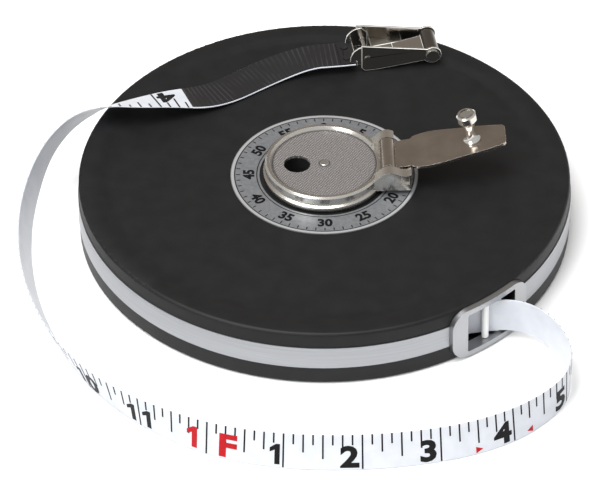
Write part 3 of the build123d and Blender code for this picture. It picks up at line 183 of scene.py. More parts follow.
def new_piece(name, vertices, faces, smooth=True):
    """A mesh object at the origin."""
    mesh = bpy.data.meshes.new(name)
    mesh.from_pydata([tuple(v) for v in vertices], [], faces)
    mesh.validate()
    for polygon in mesh.polygons:
        polygon.use_smooth = smooth
    piece = bpy.data.objects.new(name, mesh)
    bpy.context.scene.collection.objects.link(piece)
    return piece


def strip(name, start, end, thickness):
    """A length of tape between two distances from the hook, with soft edges and a UV map in metres."""
    stops = np.unique(np.concatenate([[start, end], from_hook[(from_hook > start) & (from_hook < end)]]))
    half = thickness / 2
    soft = SOFT_EDGE * thickness
    columns = [soft + (TAPE_WIDTH - 2 * soft) * k / COLUMNS for k in range(COLUMNS + 1)]
    section = ([(0, -half + soft)] + [(h, -half) for h in columns] + [(TAPE_WIDTH, -half + soft)]
               + [(TAPE_WIDTH, half - soft)] + [(h, half) for h in reversed(columns)] + [(0, half - soft)])
    count = len(section)
    flat = np.array([(d, h, l) for d in stops for h, l in section])
    vertices = on_tape(flat[:, 0], flat[:, 1], flat[:, 2])
    faces = []
    for row in range(len(stops) - 1):
        for k in range(count):
            a, b = row * count + k, row * count + (k + 1) % count
            faces.append((a, a + count, b + count, b))
    faces.append(tuple(range(count)))
    faces.append(tuple(reversed(range((len(stops) - 1) * count, len(stops) * count))))
    piece = new_piece(name, vertices, faces)
    layer = piece.data.uv_layers.new(name="along")
    for loop in piece.data.loops:
        layer.data[loop.index].uv = (flat[loop.vertex_index, 0], flat[loop.vertex_index, 1])
    for polygon in piece.data.polygons:
        polygon.use_smooth = len(polygon.vertices) == 4
    recalculate(piece)
    return piece


def recalculate(piece):
    """Turns all faces of a closed piece outwards, and marks its sharp edges."""
    work = bmesh.new()
    work.from_mesh(piece.data)
    bmesh.ops.recalc_face_normals(work, faces=work.faces)
    for edge in work.edges:
        edge.smooth = len(edge.link_faces) == 2 and edge.calc_face_angle() < radians(SHARP_ANGLE)
    work.to_mesh(piece.data)
    work.free()


blade = strip("printed_blade", LEADER_START, TAPE_LENGTH, BLADE_THICKNESS)
leader = strip("black_leader", 0.0, LEADER_START, LEADER_THICKNESS)
print("blade", len(blade.data.vertices), "leader", len(leader.data.vertices))

# %% [markdown]
# ## Inch graduations
# A tick stands every eighth of an inch, and its height tells which it is: the inch crosses nearly the whole tape,
# then come halves, quarters and eighths. That is a rule, so Geometry Nodes make it: a row of points, one box on each,
# with the box's height picked from its place in the inch.

# %% Small helpers for trees of nodes
INCH = 25.4 * MM
HOOK_READING = 1.1          # inches at the end of the strip, where the clip holds it
TICK_WIDTH = 0.55 * MM
PRINT_DEPTH = 0.1 * MM


def add_node(tree, kind, inputs=(), **settings):
    """Adds a node, sets its properties, and fills or links its inputs, which are named or numbered."""
    made = tree.nodes.new(kind)
    for name, value in settings.items():
        setattr(made, name, value)
    for name, value in dict(inputs).items():
        if isinstance(value, bpy.types.NodeSocket):
            tree.links.new(value, made.inputs[name])
        else:
            made.inputs[name].default_value = value
    return made


def hex_color(code):
    """An sRGB hex colour as the linear values that a shader wants."""
    parts = [int(code[k:k + 2], 16) / 255 for k in (1, 3, 5)]
    return tuple(c / 12.92 if c <= 0.04045 else ((c + 0.055) / 1.055) ** 2.4 for c in parts) + (1,)


def plain_mesh(piece, name):
    """The piece with its modifiers applied, as a new plain object."""
    evaluated = piece.evaluated_get(bpy.context.evaluated_depsgraph_get())
    mesh = bpy.data.meshes.new_from_object(evaluated)
    bpy.data.objects.remove(piece)      # before the new object is made, so that its name is free
    made = bpy.data.objects.new(name, mesh)
    bpy.context.scene.collection.objects.link(made)
    return made


def open_tree(name, sockets):
    """A Geometry Nodes tree with named inputs: the tree, its inputs inside, and what its modifier has to set."""
    tree = bpy.data.node_groups.new(name, "GeometryNodeTree")
    for direction in ("INPUT", "OUTPUT"):
        tree.interface.new_socket("Geometry", in_out=direction, socket_type="NodeSocketGeometry")
    values = {}
    for socket_name, kind, value in sockets:
        socket = tree.interface.new_socket(socket_name, in_out="INPUT", socket_type=kind)
        socket.default_value = value
        values[socket.identifier] = value
    return tree, add_node(tree, "NodeGroupInput").outputs, values


def run_tree(tree, marks, values, material, name):
    """Ends a tree in real geometry with a material, runs it, and gives the result as a plain piece."""
    real = add_node(tree, "GeometryNodeRealizeInstances", {"Geometry": marks.outputs[0]})
    finished = add_node(tree, "GeometryNodeSetMaterial", {"Geometry": real.outputs[0], "Material": material})
    add_node(tree, "NodeGroupOutput", {0: finished.outputs[0]})
    seed = new_piece(name + "_seed", [(0, 0, 0)], [])
    modifier = seed.modifiers.new("marks", "NODES")
    modifier.node_group = tree
    for identifier, value in values.items():
        modifier[identifier] = value
    return plain_mesh(seed, name)


# %% Inks
def ink(name, code):
    """Printing ink on a coated tape: flat colour, with the coat's own gloss and a slightly uneven film."""
    material = bpy.data.materials.new(name)
    material.use_nodes = True
    tree = material.node_tree
    shader = tree.nodes["Principled BSDF"]
    place = add_node(tree, "ShaderNodeTexCoord")
    film = add_node(tree, "ShaderNodeTexNoise", {"Vector": place.outputs["Object"], "Scale": 900.0, "Detail": 3.0})
    tone = add_node(tree, "ShaderNodeMixRGB", {0: film.outputs[0], 1: hex_color(code),
                                              2: tuple(0.7 * c for c in hex_color(code)[:3]) + (1,)})
    tree.links.new(tone.outputs[0], shader.inputs["Base Color"])
    shader.inputs["Roughness"].default_value = 0.5
    shader.inputs["Specular IOR Level"].default_value = 0.15
    return material


black_ink = ink("screen_ink_black", "#0c0c0e")
red_ink = ink("screen_ink_red", "#b5121b")
print("inks", black_ink.name, red_ink.name)

# %% Ticks
first_eighth = int(np.ceil((HOOK_READING + LEADER_START / INCH) * 8 + 0.4))
last_eighth = int((HOOK_READING + TAPE_LENGTH / INCH) * 8 - 0.4)

TICK_HEIGHTS = ((1, 0.29), (2, 0.51), (4, 0.68), (8, 0.97))     # every so many eighths, so much of the tape's width

tick_tree, given, tick_values = open_tree("inch_ticks", (
    ("Ticks", "NodeSocketInt", last_eighth - first_eighth + 1), ("First", "NodeSocketInt", first_eighth),
    ("Spacing", "NodeSocketFloat", INCH / 8), ("Width", "NodeSocketFloat", TICK_WIDTH),
    ("Tape width", "NodeSocketFloat", TAPE_WIDTH), ("Depth", "NodeSocketFloat", PRINT_DEPTH)))
eighth = add_node(tick_tree, "ShaderNodeMath", {0: add_node(tick_tree, "GeometryNodeInputIndex").outputs[0],
                                               1: given["First"]}, operation="ADD")
share = None
for part, height in TICK_HEIGHTS:
    left_over = add_node(tick_tree, "ShaderNodeMath", {0: eighth.outputs[0], 1: float(part)}, operation="MODULO")
    whole = add_node(tick_tree, "ShaderNodeMath", {0: left_over.outputs[0], 1: 0.5}, operation="LESS_THAN")
    taller = add_node(tick_tree, "ShaderNodeMath", {0: whole.outputs[0], 1: height}, operation="MULTIPLY")
    share = taller if share is None else add_node(
        tick_tree, "ShaderNodeMath", {0: share.outputs[0], 1: taller.outputs[0]}, operation="MAXIMUM")
tall = add_node(tick_tree, "ShaderNodeMath", {0: share.outputs[0], 1: given["Tape width"]}, operation="MULTIPLY")
half_tall = add_node(tick_tree, "ShaderNodeMath", {0: tall.outputs[0], 1: 0.5}, operation="MULTIPLY")
middle = add_node(tick_tree, "ShaderNodeMath", {0: given["Tape width"], 1: half_tall.outputs[0]},
                  operation="SUBTRACT")
step = add_node(tick_tree, "ShaderNodeCombineXYZ", {0: given["Spacing"]})
row = add_node(tick_tree, "GeometryNodeMeshLine", {"Count": given["Ticks"], "Offset": step.outputs[0]})
rise = add_node(tick_tree, "ShaderNodeCombineXYZ", {1: middle.outputs[0]})
lifted = add_node(tick_tree, "GeometryNodeSetPosition", {"Geometry": row.outputs[0], "Offset": rise.outputs[0]})
block = add_node(tick_tree, "GeometryNodeMeshCube", {
    "Size": add_node(tick_tree, "ShaderNodeCombineXYZ", {0: given["Width"], 1: 1.0, 2: given["Depth"]}).outputs[0]})
marks = add_node(tick_tree, "GeometryNodeInstanceOnPoints", {
    "Points": lifted.outputs[0], "Instance": block.outputs["Mesh"],
    "Scale": add_node(tick_tree, "ShaderNodeCombineXYZ", {0: 1.0, 1: tall.outputs[0], 2: 1.0}).outputs[0]})
ticks = run_tree(tick_tree, marks, tick_values, black_ink, "inch_ticks")


def bend(piece, start, thickness=BLADE_THICKNESS):
    """Bends a flat piece on to the tape. Its own x runs from start away from the hook, and y across."""
    flat = np.array([v.co for v in piece.data.vertices], float)
    placed = on_tape(flat[:, 0] + start, flat[:, 1], flat[:, 2] + thickness / 2)
    piece.data.vertices.foreach_set("co", placed.astype(np.float32).ravel())
    piece.data.update()


def inches(reading):
    """Distance from the end of the strip, in metres, of a reading in inches."""
    return (reading - HOOK_READING) * INCH


bend(ticks, inches(first_eighth / 8))
print("ticks", last_eighth - first_eighth + 1, "faces", len(ticks.data.polygons))

# %% [markdown]
# Figures stand beside their inch line, in the lower half. After a foot they start again from one, and the foot
# itself is red, with small red arrowheads further on. A figure is cut into small faces before it is bent, because a
# large flat face would sink into the curve of the tape.

# %% Figures
FIGURE_SIZE = 10.6 * MM         # of the font, whose figures are 0.72 of it high
FIGURE_FOOT = 1.3 * MM
FOOT_SCALE = 1.12
FIGURE_GAP = -1.1               # right edge of a figure from its inch line, in millimetres
LARGEST_EDGE = 0.9 * MM


def cut_small(piece, largest):
    """Splits every edge of a flat piece until none is longer than largest."""
    work = bmesh.new()
    work.from_mesh(piece.data)
    bmesh.ops.remove_doubles(work, verts=work.verts, dist=1e-6)
    bmesh.ops.triangulate(work, faces=work.faces)
    for _ in range(5):
        long_edges = [edge for edge in work.edges if edge.calc_length() > largest]
        if not long_edges:
            break
        bmesh.ops.subdivide_edges(work, edges=long_edges, cuts=1)
        bmesh.ops.triangulate(work, faces=work.faces)
    work.to_mesh(piece.data)
    work.free()


def lettering(text, name, size, material, bold=0.04, narrow=1.0, align="CENTER"):
    """A flat figure with a little thickness, as a plain mesh on the XY plane."""
    data = bpy.data.curves.new(name, "FONT")
    data.body = text
    data.size = size
    data.align_x = align
    data.extrude = PRINT_DEPTH / 2
    data.offset = bold * size
    data.resolution_u = 3
    piece = bpy.data.objects.new(name, data)
    bpy.context.scene.collection.objects.link(piece)
    piece = plain_mesh(piece, name)
    piece.data.transform(Matrix.Diagonal((narrow, 1, 1, 1)))
    piece.data.materials.clear()
    piece.data.materials.append(material)
    return piece


def one(name, material, scale=1.0):
    """A bold figure one with a flag, which the built-in font draws as a plain bar."""
    outline = [(-0.3, 0), (1.4, 0), (1.4, 7.6), (0.1, 7.6), (-1.9, 6.1), (-1.9, 4.5), (-0.3, 5.4)]
    count = len(outline)
    vertices = [(x * scale * MM, y * scale * MM, z) for z in (-PRINT_DEPTH / 2, PRINT_DEPTH / 2) for x, y in outline]
    faces = [tuple(reversed(range(count))), tuple(range(count, 2 * count))]
    faces += [(k, (k + 1) % count, (k + 1) % count + count, k + count) for k in range(count)]
    piece = new_piece(name, vertices, faces, smooth=False)
    piece.data.materials.append(material)
    recalculate(piece)
    return piece


def figure(text, name, reading, place, material, align="CENTER", scale=1.0):
    """A figure bent on to the tape: place is where it stands from the inch line, in millimetres."""
    piece = lettering(text, name, FIGURE_SIZE * scale, material, narrow=1.14, align=align)
    if text == "1":
        bpy.data.objects.remove(piece)
        piece = one(name, material, scale)
        place -= 1.4 if align == "RIGHT" else 0
    cut_small(piece, LARGEST_EDGE)
    piece.data.transform(Matrix.Translation((place * MM, FIGURE_FOOT, 0)))
    bend(piece, inches(reading))
    return piece


def arrowhead(name, reading, point):
    """A small red triangle at the tape's lower edge that points along the tape, to point = 1 or -1."""
    half = PRINT_DEPTH / 2
    corners = [(-1.1 * point * MM, 0.5 * MM), (-1.1 * point * MM, 2.9 * MM), (1.3 * point * MM, 1.7 * MM)]
    vertices = [(x, y, z) for z in (-half, half) for x, y in corners]
    piece = new_piece(name, vertices, [(0, 2, 1), (3, 4, 5), (0, 1, 4, 3), (1, 2, 5, 4), (2, 0, 3, 5)], smooth=False)
    piece.data.materials.append(red_ink)
    recalculate(piece)
    cut_small(piece, LARGEST_EDGE)
    bend(piece, inches(reading))
    return piece


black_figures, red_figures = [], []
for inch in range(4, 19):
    if inch == 12:
        red_figures += [figure("1", "foot_one", inch, -4.9, red_ink, scale=FOOT_SCALE),
                        figure("F", "foot_letter", inch, 7.0, red_ink, scale=FOOT_SCALE)]
    elif inch in (10, 11):
        for digit, place in zip(str(inch), (-3.2, 3.2)):
            black_figures.append(figure(digit, f"figure_{inch}_{place > 0:d}", inch, place, black_ink))
    else:
        black_figures.append(figure(str(inch % 12), f"figure_{inch}", inch, FIGURE_GAP, black_ink, "RIGHT"))
red_figures += [arrowhead("arrowhead_right", 15.5, 1), arrowhead("arrowhead_left", 16.25, -1)]


def join(pieces, name):
    """One object from several."""
    work = bmesh.new()
    for piece in pieces:
        work.from_mesh(piece.data)
    mesh = bpy.data.meshes.new(name)
    work.to_mesh(mesh)
    work.free()
    mesh.materials.append(pieces[0].data.materials[0])
    for piece in pieces:
        bpy.data.objects.remove(piece)
    made = bpy.data.objects.new(name, mesh)
    bpy.context.scene.collection.objects.link(made)
    return made


figures = join(black_figures, "inch_figures")
foot_mark = join(red_figures, "foot_figures")
print("black figures", len(figures.data.polygons), "faces, red ones", len(foot_mark.data.polygons))

# %% [markdown]
# ## Finishes
# Each finish is named for what the real piece is made of. The first is the blade's coat: a white plastic skin with a
# faint grain from the cloth or steel below it.

# %% Finishes of the tape
def finish(name, color, roughness, metallic=0.0):
    """A material and its tree and shader, ready for patterns."""
    material = bpy.data.materials.new(name)
    material.use_nodes = True
    shader = material.node_tree.nodes["Principled BSDF"]
    shader.inputs["Base Color"].default_value = hex_color(color)
    shader.inputs["Roughness"].default_value = roughness
    shader.inputs["Metallic"].default_value = metallic
    return material, material.node_tree, shader


def bumped(tree, shader, height, strength, distance):
    """Gives the shader a bump from a height socket."""
    bump = add_node(tree, "ShaderNodeBump", {"Height": height, "Strength": strength, "Distance": distance})
    tree.links.new(bump.outputs[0], shader.inputs["Normal"])


def noise(tree, size, detail=3.0, stretch=(1, 1, 1)):
    """Noise with features about size metres wide, on Object coordinates, stretched along an axis."""
    place = add_node(tree, "ShaderNodeTexCoord")
    fitted = add_node(tree, "ShaderNodeMapping", {"Vector": place.outputs["Object"], "Scale": stretch})
    return add_node(tree, "ShaderNodeTexNoise", {
        "Vector": fitted.outputs[0], "Scale": 1 / size, "Detail": detail}).outputs[0]


def ramp(tree, value, stops):
    """A colour ramp with stops of (place, hex colour)."""
    made = add_node(tree, "ShaderNodeValToRGB", {0: value})
    while len(made.color_ramp.elements) < len(stops):
        made.color_ramp.elements.new(0.5)
    for element, (place, code) in zip(made.color_ramp.elements, stops):
        element.position = place
        element.color = hex_color(code)
    return made.outputs[0]


tape_coat, tree, shader = finish("coated_tape_white", "#c6c9d0", 0.34)
tree.links.new(ramp(tree, noise(tree, 6 * MM), [(0.3, "#c1c4cb"), (0.7, "#cbced4")]), shader.inputs["Base Color"])
bumped(tree, shader, noise(tree, 0.5 * MM), 0.08, 0.05 * MM)
blade.data.materials.append(tape_coat)

WAVE_PER_UNIT = 0.1 * pi    # scale at which a wave texture repeats once in each unit of its vector
RIB_PITCH = 1.7 * MM
leader_cloth, tree, shader = finish("ribbed_leader_black", "#17171a", 0.4)
uv = add_node(tree, "ShaderNodeUVMap", uv_map="along")
rib_length = add_node(tree, "ShaderNodeMapping", {
    "Vector": uv.outputs[0], "Scale": (1 / RIB_PITCH, 0.12 / RIB_PITCH, 0)})
ribs = add_node(tree, "ShaderNodeTexWave", {"Vector": rib_length.outputs[0], "Scale": WAVE_PER_UNIT, "Distortion": 0.4},
                wave_profile="SIN")
bumped(tree, shader, ribs.outputs[1], 0.3, 0.12 * MM)
# painted sheen: the rib crests are coloured lighter, in random patches, where light would catch them; the ribs
# themselves are bumped
sheen_patches = ramp(tree, noise(tree, 12 * MM, 2), [(0.42, "#000000"), (0.6, "#ffffff")])
rib_sheen = add_node(tree, "ShaderNodeMath", {0: ramp(tree, ribs.outputs[1], [(0.75, "#000000"), (1.0, "#ffffff")]),
                                         1: sheen_patches}, operation="MULTIPLY")
tree.links.new(ramp(tree, rib_sheen.outputs[0], [(0.0, "#131315"), (1.0, "#2e2e31")]), shader.inputs["Base Color"])
leader.data.materials.append(leader_cloth)
# the leader is a black skin on the white tape, whose core shows along its cut edges
CUT_EDGE = 0.3 * MM
leader.data.materials.append(tape_coat)
edges_of_leader = leader.data.uv_layers["along"].data
for polygon in leader.data.polygons:
    heights = [edges_of_leader[k].uv[1] for k in polygon.loop_indices]
    if max(heights) < CUT_EDGE or min(heights) > TAPE_WIDTH - CUT_EDGE:
        polygon.material_index = 1

# %% [markdown]
# ## Riding
# The tape leaves the case's mouth and lies still, so the strip and its print ride on the case.

# %% Tape on its body
for piece, slot in ((blade, "tape_white"), (leader, "leader_black"), (ticks, "tape_white"), (figures, "tape_white"),
                    (foot_mark, "tape_white")):
    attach(piece, "case")
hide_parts("tape_blade")
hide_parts("tape_leader")

# %% [markdown]
# ## Better surfaces for the CAD pieces
# The imported meshes are loose triangles. A copy that is merged, with its gentle angles smoothed, shades like the
# turned or pressed piece it is, and a narrow bevel catches the light along its edges. On some pieces the bevel's
# faces also take a near-white material, a painted highlight.

# %% Refined copies
def refined(node, material, bevel=0.0, edge_highlight_material=None, smooth_angle=32):
    """A merged and smoothed copy of a CAD node that stands for it, on the same body."""
    source = NODES[node]
    mesh = source.data.copy()
    work = bmesh.new()
    work.from_mesh(mesh)
    bmesh.ops.remove_doubles(work, verts=work.verts, dist=2e-6)
    for edge in work.edges:
        edge.smooth = len(edge.link_faces) == 2 and edge.calc_face_angle(pi) < radians(smooth_angle)
    for face in work.faces:
        face.smooth = True
    work.to_mesh(mesh)
    work.free()
    mesh.materials.clear()
    mesh.materials.append(material)
    if mesh.has_custom_normals:
        mesh.attributes.remove(mesh.attributes["custom_normal"])
    piece = bpy.data.objects.new("fine_" + node, mesh)
    bpy.context.scene.collection.objects.link(piece)
    if bevel:
        edge_round = piece.modifiers.new("edge", "BEVEL")
        edge_round.width = bevel
        edge_round.segments = 2
        edge_round.limit_method = "ANGLE"
        edge_round.angle_limit = radians(40)
        edge_round.harden_normals = True
        # the bevel's faces take the near-white edge material: a painted highlight along the edges
        if edge_highlight_material:
            mesh.materials.append(edge_highlight_material)
            edge_round.material = 1
        piece = plain_mesh(piece, "fine_" + node)
    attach(piece, source["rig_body"])
    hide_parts(node)
    return piece


# %% [markdown]
# The case is moulded ABS, almost black. Its grain is finer than a millimetre and makes it look flat, so we use a
# rough surface with a little bump. The band round it is stainless strip, brushed along its
# length, and brushing shows as stripes round the case: noise that is stretched hard in z.

# %% Finishes of the case
case_black, tree, shader = finish("moulded_abs_black", "#121213", 0.5)
tree.links.new(ramp(tree, noise(tree, 7 * MM, 4), [(0.3, "#0f0f10"), (0.7, "#161617")]), shader.inputs["Base Color"])
bumped(tree, shader, noise(tree, 0.7 * MM), 0.2, 0.06 * MM)
shader.inputs["Specular IOR Level"].default_value = 0.26

band_steel, tree, shader = finish("brushed_steel_band", "#acadaf", 0.4, 1.0)
tree.links.new(ramp(tree, noise(tree, 40 * MM, 2, (1, 1, 160)), [(0.3, "#9b9ca0"), (0.7, "#a7a9ac")]),
               shader.inputs["Base Color"])


# %% [markdown]
# Turned and pressed pieces have rings, so their patterns follow the distance from the axis. A small helper gives that
# distance on Object coordinates.

# %% Distance from an upright axis
def from_axis(tree, x=0.0, y=0.0):
    """The distance in metres of a point from an upright line through x, y."""
    place = add_node(tree, "ShaderNodeTexCoord")
    moved = add_node(tree, "ShaderNodeVectorMath", {0: place.outputs["Object"], 1: (-x, -y, 0)}, operation="ADD")
    level = add_node(tree, "ShaderNodeVectorMath", {0: moved.outputs[0], 1: (1, 1, 0)}, operation="MULTIPLY")
    return add_node(tree, "ShaderNodeVectorMath", {0: level.outputs[0]}, operation="LENGTH").outputs["Value"]


def beyond(tree, value, edge, soft=0.05 * MM):
    """0 below edge and 1 above it, with a short soft step."""
    return add_node(tree, "ShaderNodeMapRange", {"Value": value, "From Min": edge - soft, "From Max": edge + soft},
                    clamp=True).outputs[0]


def mixed(tree, share, first, second):
    """One colour or the other. A hex code or a socket may be given."""
    made = add_node(tree, "ShaderNodeMixRGB", {0: share})
    for slot, given_color in ((1, first), (2, second)):
        if isinstance(given_color, str):
            made.inputs[slot].default_value = hex_color(given_color)
        else:
            tree.links.new(given_color, made.inputs[slot])
    return made.outputs[0]


# %% [markdown]
# The label is an aluminium disc, printed dark and left bright along its outer edge. Thin rings frame its dial. Its
# figures are made further on.

# %% Label
label_metal, tree, shader = finish("printed_aluminium_label", "#8d9094", 0.38, 0.7)
radius = from_axis(tree)
tone = ramp(tree, noise(tree, 1.2 * MM, 4), [(0.3, "#85888c"), (0.7, "#96999d")])
for ring_radius, ring_width, code in ((30.7, 0.9, "#c9cbcd"), (30.0, 0.35, "#26272a"), (22.6, 0.35, "#26272a")):
    inside = beyond(tree, radius, (ring_radius - ring_width / 2) * MM, 0.04 * MM)
    outside = beyond(tree, radius, (ring_radius + ring_width / 2) * MM, 0.04 * MM)
    band_share = add_node(tree, "ShaderNodeMath", {0: inside, 1: outside}, operation="SUBTRACT").outputs[0]
    tone = mixed(tree, band_share, tone, code)
tree.links.new(tone, shader.inputs["Base Color"])
print("label finish", label_metal.name)

mouth_metal, tree, shader = finish("die_cast_zinc_satin", "#a4a5a7", 0.32, 1.0)
bumped(tree, shader, noise(tree, 0.8 * MM), 0.12, 0.05 * MM)

# %% [markdown]
# The crank's round face is coined with a fine crosshatch, which keeps it dull beside its polished rim. Two sets of
# fine lines cross at right angles. They are 0.75 mm apart, coarser than the real ones, which are too fine to show.

# %% Crank, handle and knob
GRAIN_PITCH = 0.75 * MM
GRAINED_OUT_TO = 17.6 * MM      # radius of the coined face, and from there on the rim is polished
GROOVE_FROM = 17.0 * MM         # the groove inside the rim, where a dark ring is painted for its shade
RIVET_DIMPLE = 2.0 * MM
crank_nickel, tree, shader = finish("nickel_plated_pressing", "#c4c0b9", 0.2, 1.0)
place = add_node(tree, "ShaderNodeTexCoord")
lines = []
for turn in (32, 122):
    turned = add_node(tree, "ShaderNodeMapping", {"Vector": place.outputs["Object"],
                                                 "Rotation": (0, 0, radians(turn)), "Scale": (1 / GRAIN_PITCH,) * 3})
    wave = add_node(tree, "ShaderNodeTexWave", {"Vector": turned.outputs[0], "Scale": WAVE_PER_UNIT, "Distortion": 3.5,
                                               "Detail": 3.0, "Detail Scale": 2.0})
    lines.append(wave.outputs[1])
grain = add_node(tree, "ShaderNodeMath", {0: lines[0], 1: lines[1]}, operation="MULTIPLY").outputs[0]
radius = from_axis(tree)
polished = beyond(tree, radius, GRAINED_OUT_TO, 0.1 * MM)
grain_and_shade_tone = ramp(tree, grain, [(0.0, "#656261"), (0.35, "#8f8b8a"), (0.8, "#a9a5a4")])
# painted shade: a dark ring just inside the polished rim, for the shade in the groove there
grain_and_shade_tone = mixed(tree, beyond(tree, radius, GROOVE_FROM, 0.3 * MM), grain_and_shade_tone, "#4b4846")
# painted shade: the dimple round the rivet is coloured darker
grain_and_shade_tone = mixed(tree, beyond(tree, radius, RIVET_DIMPLE, 0.2 * MM), "#55524f", grain_and_shade_tone)
tree.links.new(mixed(tree, polished, grain_and_shade_tone, "#cbc7c0"), shader.inputs["Base Color"])
dull = add_node(tree, "ShaderNodeMapRange", {"Value": polished, "To Min": 0.42, "To Max": 0.24}).outputs[0]
tree.links.new(dull, shader.inputs["Roughness"])
bare = add_node(tree, "ShaderNodeMapRange", {"Value": polished, "To Min": 0.45, "To Max": 1.0}).outputs[0]
tree.links.new(bare, shader.inputs["Metallic"])
flat_grain = add_node(tree, "ShaderNodeMath", {0: grain, 1: add_node(
    tree, "ShaderNodeMath", {0: 1.0, 1: polished}, operation="SUBTRACT").outputs[0]}, operation="MULTIPLY").outputs[0]
bumped(tree, shader, flat_grain, 0.3, 0.08 * MM)

handle_nickel, tree, shader = finish("nickel_plated_leaf", "#ada398", 0.2, 1.0)
tree.links.new(ramp(tree, noise(tree, 9 * MM, 3), [(0.3, "#a2988d"), (0.7, "#b8aea4")]), shader.inputs["Base Color"])
bumped(tree, shader, noise(tree, 4 * MM), 0.06, 0.1 * MM)
knob_metal, tree, shader = finish("turned_bright_knob", "#d2cfc9", 0.16, 1.0)
hook_nickel, tree, shader = finish("nickel_plated_fitting", "#bcb8b1", 0.16, 1.0)
bumped(tree, shader, noise(tree, 5 * MM), 0.05, 0.1 * MM)
# a darker, rougher nickel for the hook's barrel
barrel_nickel, tree, shader = finish("darker_nickel_barrel", "#6f6a64", 0.3, 1.0)
# painted highlight: a near-white, half-metallic nickel that stays bright whatever it faces, for bevelled edges and the
# front bush
edge_highlight_nickel, tree, shader = finish("painted_highlight_nickel_edge", "#f2f0ec", 0.3, 0.35)
pin_steel, tree, shader = finish("bright_drawn_steel", "#d2d2d0", 0.2, 1.0)
roller_white, tree, shader = finish("acetal_roller_white", "#f0f0ee", 0.35)
reel_black, tree, shader = finish("moulded_reel_grey", "#222223", 0.5)
screw_black, tree, shader = finish("black_oxide_screw", "#1d1d1f", 0.4, 0.6)

# %% Refined pieces
fine = {}
for node, material, bevel, edge_highlight_material in (
    ("front_shell", case_black, 0, None), ("rear_shell", case_black, 0, None), ("case_band", band_steel, 0, None),
    ("label_plate", label_metal, 0, None), ("mouth_frame", mouth_metal, 0.25 * MM, None),
    ("crank_plate", crank_nickel, 0.12 * MM, edge_highlight_nickel), ("crank_handle", handle_nickel, 0.14 * MM, edge_highlight_nickel),
    ("crank_knob", knob_metal, 0, None), ("end_yoke", hook_nickel, 0.16 * MM, edge_highlight_nickel),
    ("leader_clip", hook_nickel, 0.12 * MM, edge_highlight_nickel), ("end_hook", hook_nickel, 0.16 * MM, edge_highlight_nickel),
    ("hook_pin", hook_nickel, 0.16 * MM, edge_highlight_nickel), ("yoke_pin", hook_nickel, 0.08 * MM, None),
    ("clip_rivets", leader_cloth, 0.08 * MM, None), ("roller_left", roller_white, 0, None),
    ("roller_right", roller_white, 0, None), ("axle_rivet", pin_steel, 0, None),
    ("handle_hinge_pin", pin_steel, 0, None), ("knob_stem", pin_steel, 0, None), ("reel_drum", reel_black, 0, None),
    # the front bush is all painted highlight, in the near-white edge nickel
    ("rear_cap", reel_black, 0, None), ("case_screws", screw_black, 0, None), ("front_bush", edge_highlight_nickel, 0, None),
):
    fine[node] = refined(node, material, bevel, edge_highlight_material)
    print(node, len(fine[node].data.polygons))
for node, material in (("rear_bush", case_black), ("roller_pins", pin_steel),
                       ("tape_feed", tape_coat), ("wound_tape", tape_coat), ("upper_flange", reel_black),
                       ("lower_flange", reel_black), ("tape_anchor_pin", pin_steel)):
    NODES[node].data.materials.clear()
    NODES[node].data.materials.append(material)

# %% [markdown]
# Two pieces have more than one finish. The clip's flat leaves are enamelled black like the leader that they hold, and
# only its cheeks are bright. The hook's barrel is dull beside its bright plate. Faces are picked by their place, in
# distance along the end fitting, and given a second material.

# %% Second finishes
fitting_start = Vector(TAPE_ROUTE[-1][:3])
fitting_run = (fitting_start - Vector(TAPE_ROUTE[-2][:3])).normalized()
clip_enamel, tree, shader = finish("black_enamel_clip", "#151517", 0.35)
LEAF_END = 0.3 * MM
LEAF_TOP = 24.95 * MM
HOOK_PIVOT_AT = 26.5 * MM
HOOK_PIVOT_HEIGHT = 24.5 * MM
BARREL_RADIUS = 2.75 * MM
for node, second in (("leader_clip", clip_enamel), ("end_hook", barrel_nickel)):
    mesh = fine[node].data
    mesh.materials.append(second)
    second_index = len(mesh.materials) - 1
    for polygon in mesh.polygons:
        reach = (polygon.center - fitting_start).dot(fitting_run)
        height = polygon.center.z
        if node == "leader_clip":
            picked = reach < LEAF_END and height < LEAF_TOP
        else:
            picked = (reach - HOOK_PIVOT_AT) ** 2 + (height - HOOK_PIVOT_HEIGHT) ** 2 < BARREL_RADIUS**2
        if picked:
            polygon.material_index = second_index

# %% [markdown]
# ## The free tape
# The tape is flexible. Its free blade runs from the mouthpiece to the leader, and that length is printed. The
# leader, the print and the end fitting are the pieces on it.

# %% The free tape
print("free blade", round(float(TAPE_LENGTH - LEADER_START), 4), "m")

# %% [markdown]
# ## The label's dial
# The label carries a plain dial: sixty short strokes round its edge and a figure at every fifth. Strokes that repeat
# round a circle are work for Geometry Nodes: points on a circle, each with a thin block turned to face the middle.

# %% Dial strokes
LABEL_TOP = 21.2 * MM
dial_tree, given, dial_values = open_tree("dial_strokes", (
    ("Strokes", "NodeSocketInt", 60), ("Radius", "NodeSocketFloat", 28.9 * MM),
    ("Height", "NodeSocketFloat", LABEL_TOP), ("Length", "NodeSocketFloat", 1.3 * MM),
    ("Width", "NodeSocketFloat", 0.35 * MM), ("Depth", "NodeSocketFloat", 0.06 * MM)))
ring = add_node(dial_tree, "GeometryNodeMeshCircle", {"Vertices": given["Strokes"], "Radius": given["Radius"]})
rise = add_node(dial_tree, "ShaderNodeCombineXYZ", {2: given["Height"]})
raised = add_node(dial_tree, "GeometryNodeSetPosition", {"Geometry": ring.outputs[0], "Offset": rise.outputs[0]})
turn_step = add_node(dial_tree, "ShaderNodeMath", {0: 2 * pi, 1: given["Strokes"]}, operation="DIVIDE")
turn = add_node(dial_tree, "ShaderNodeMath", {0: add_node(dial_tree, "GeometryNodeInputIndex").outputs[0],
                                             1: turn_step.outputs[0]}, operation="MULTIPLY")
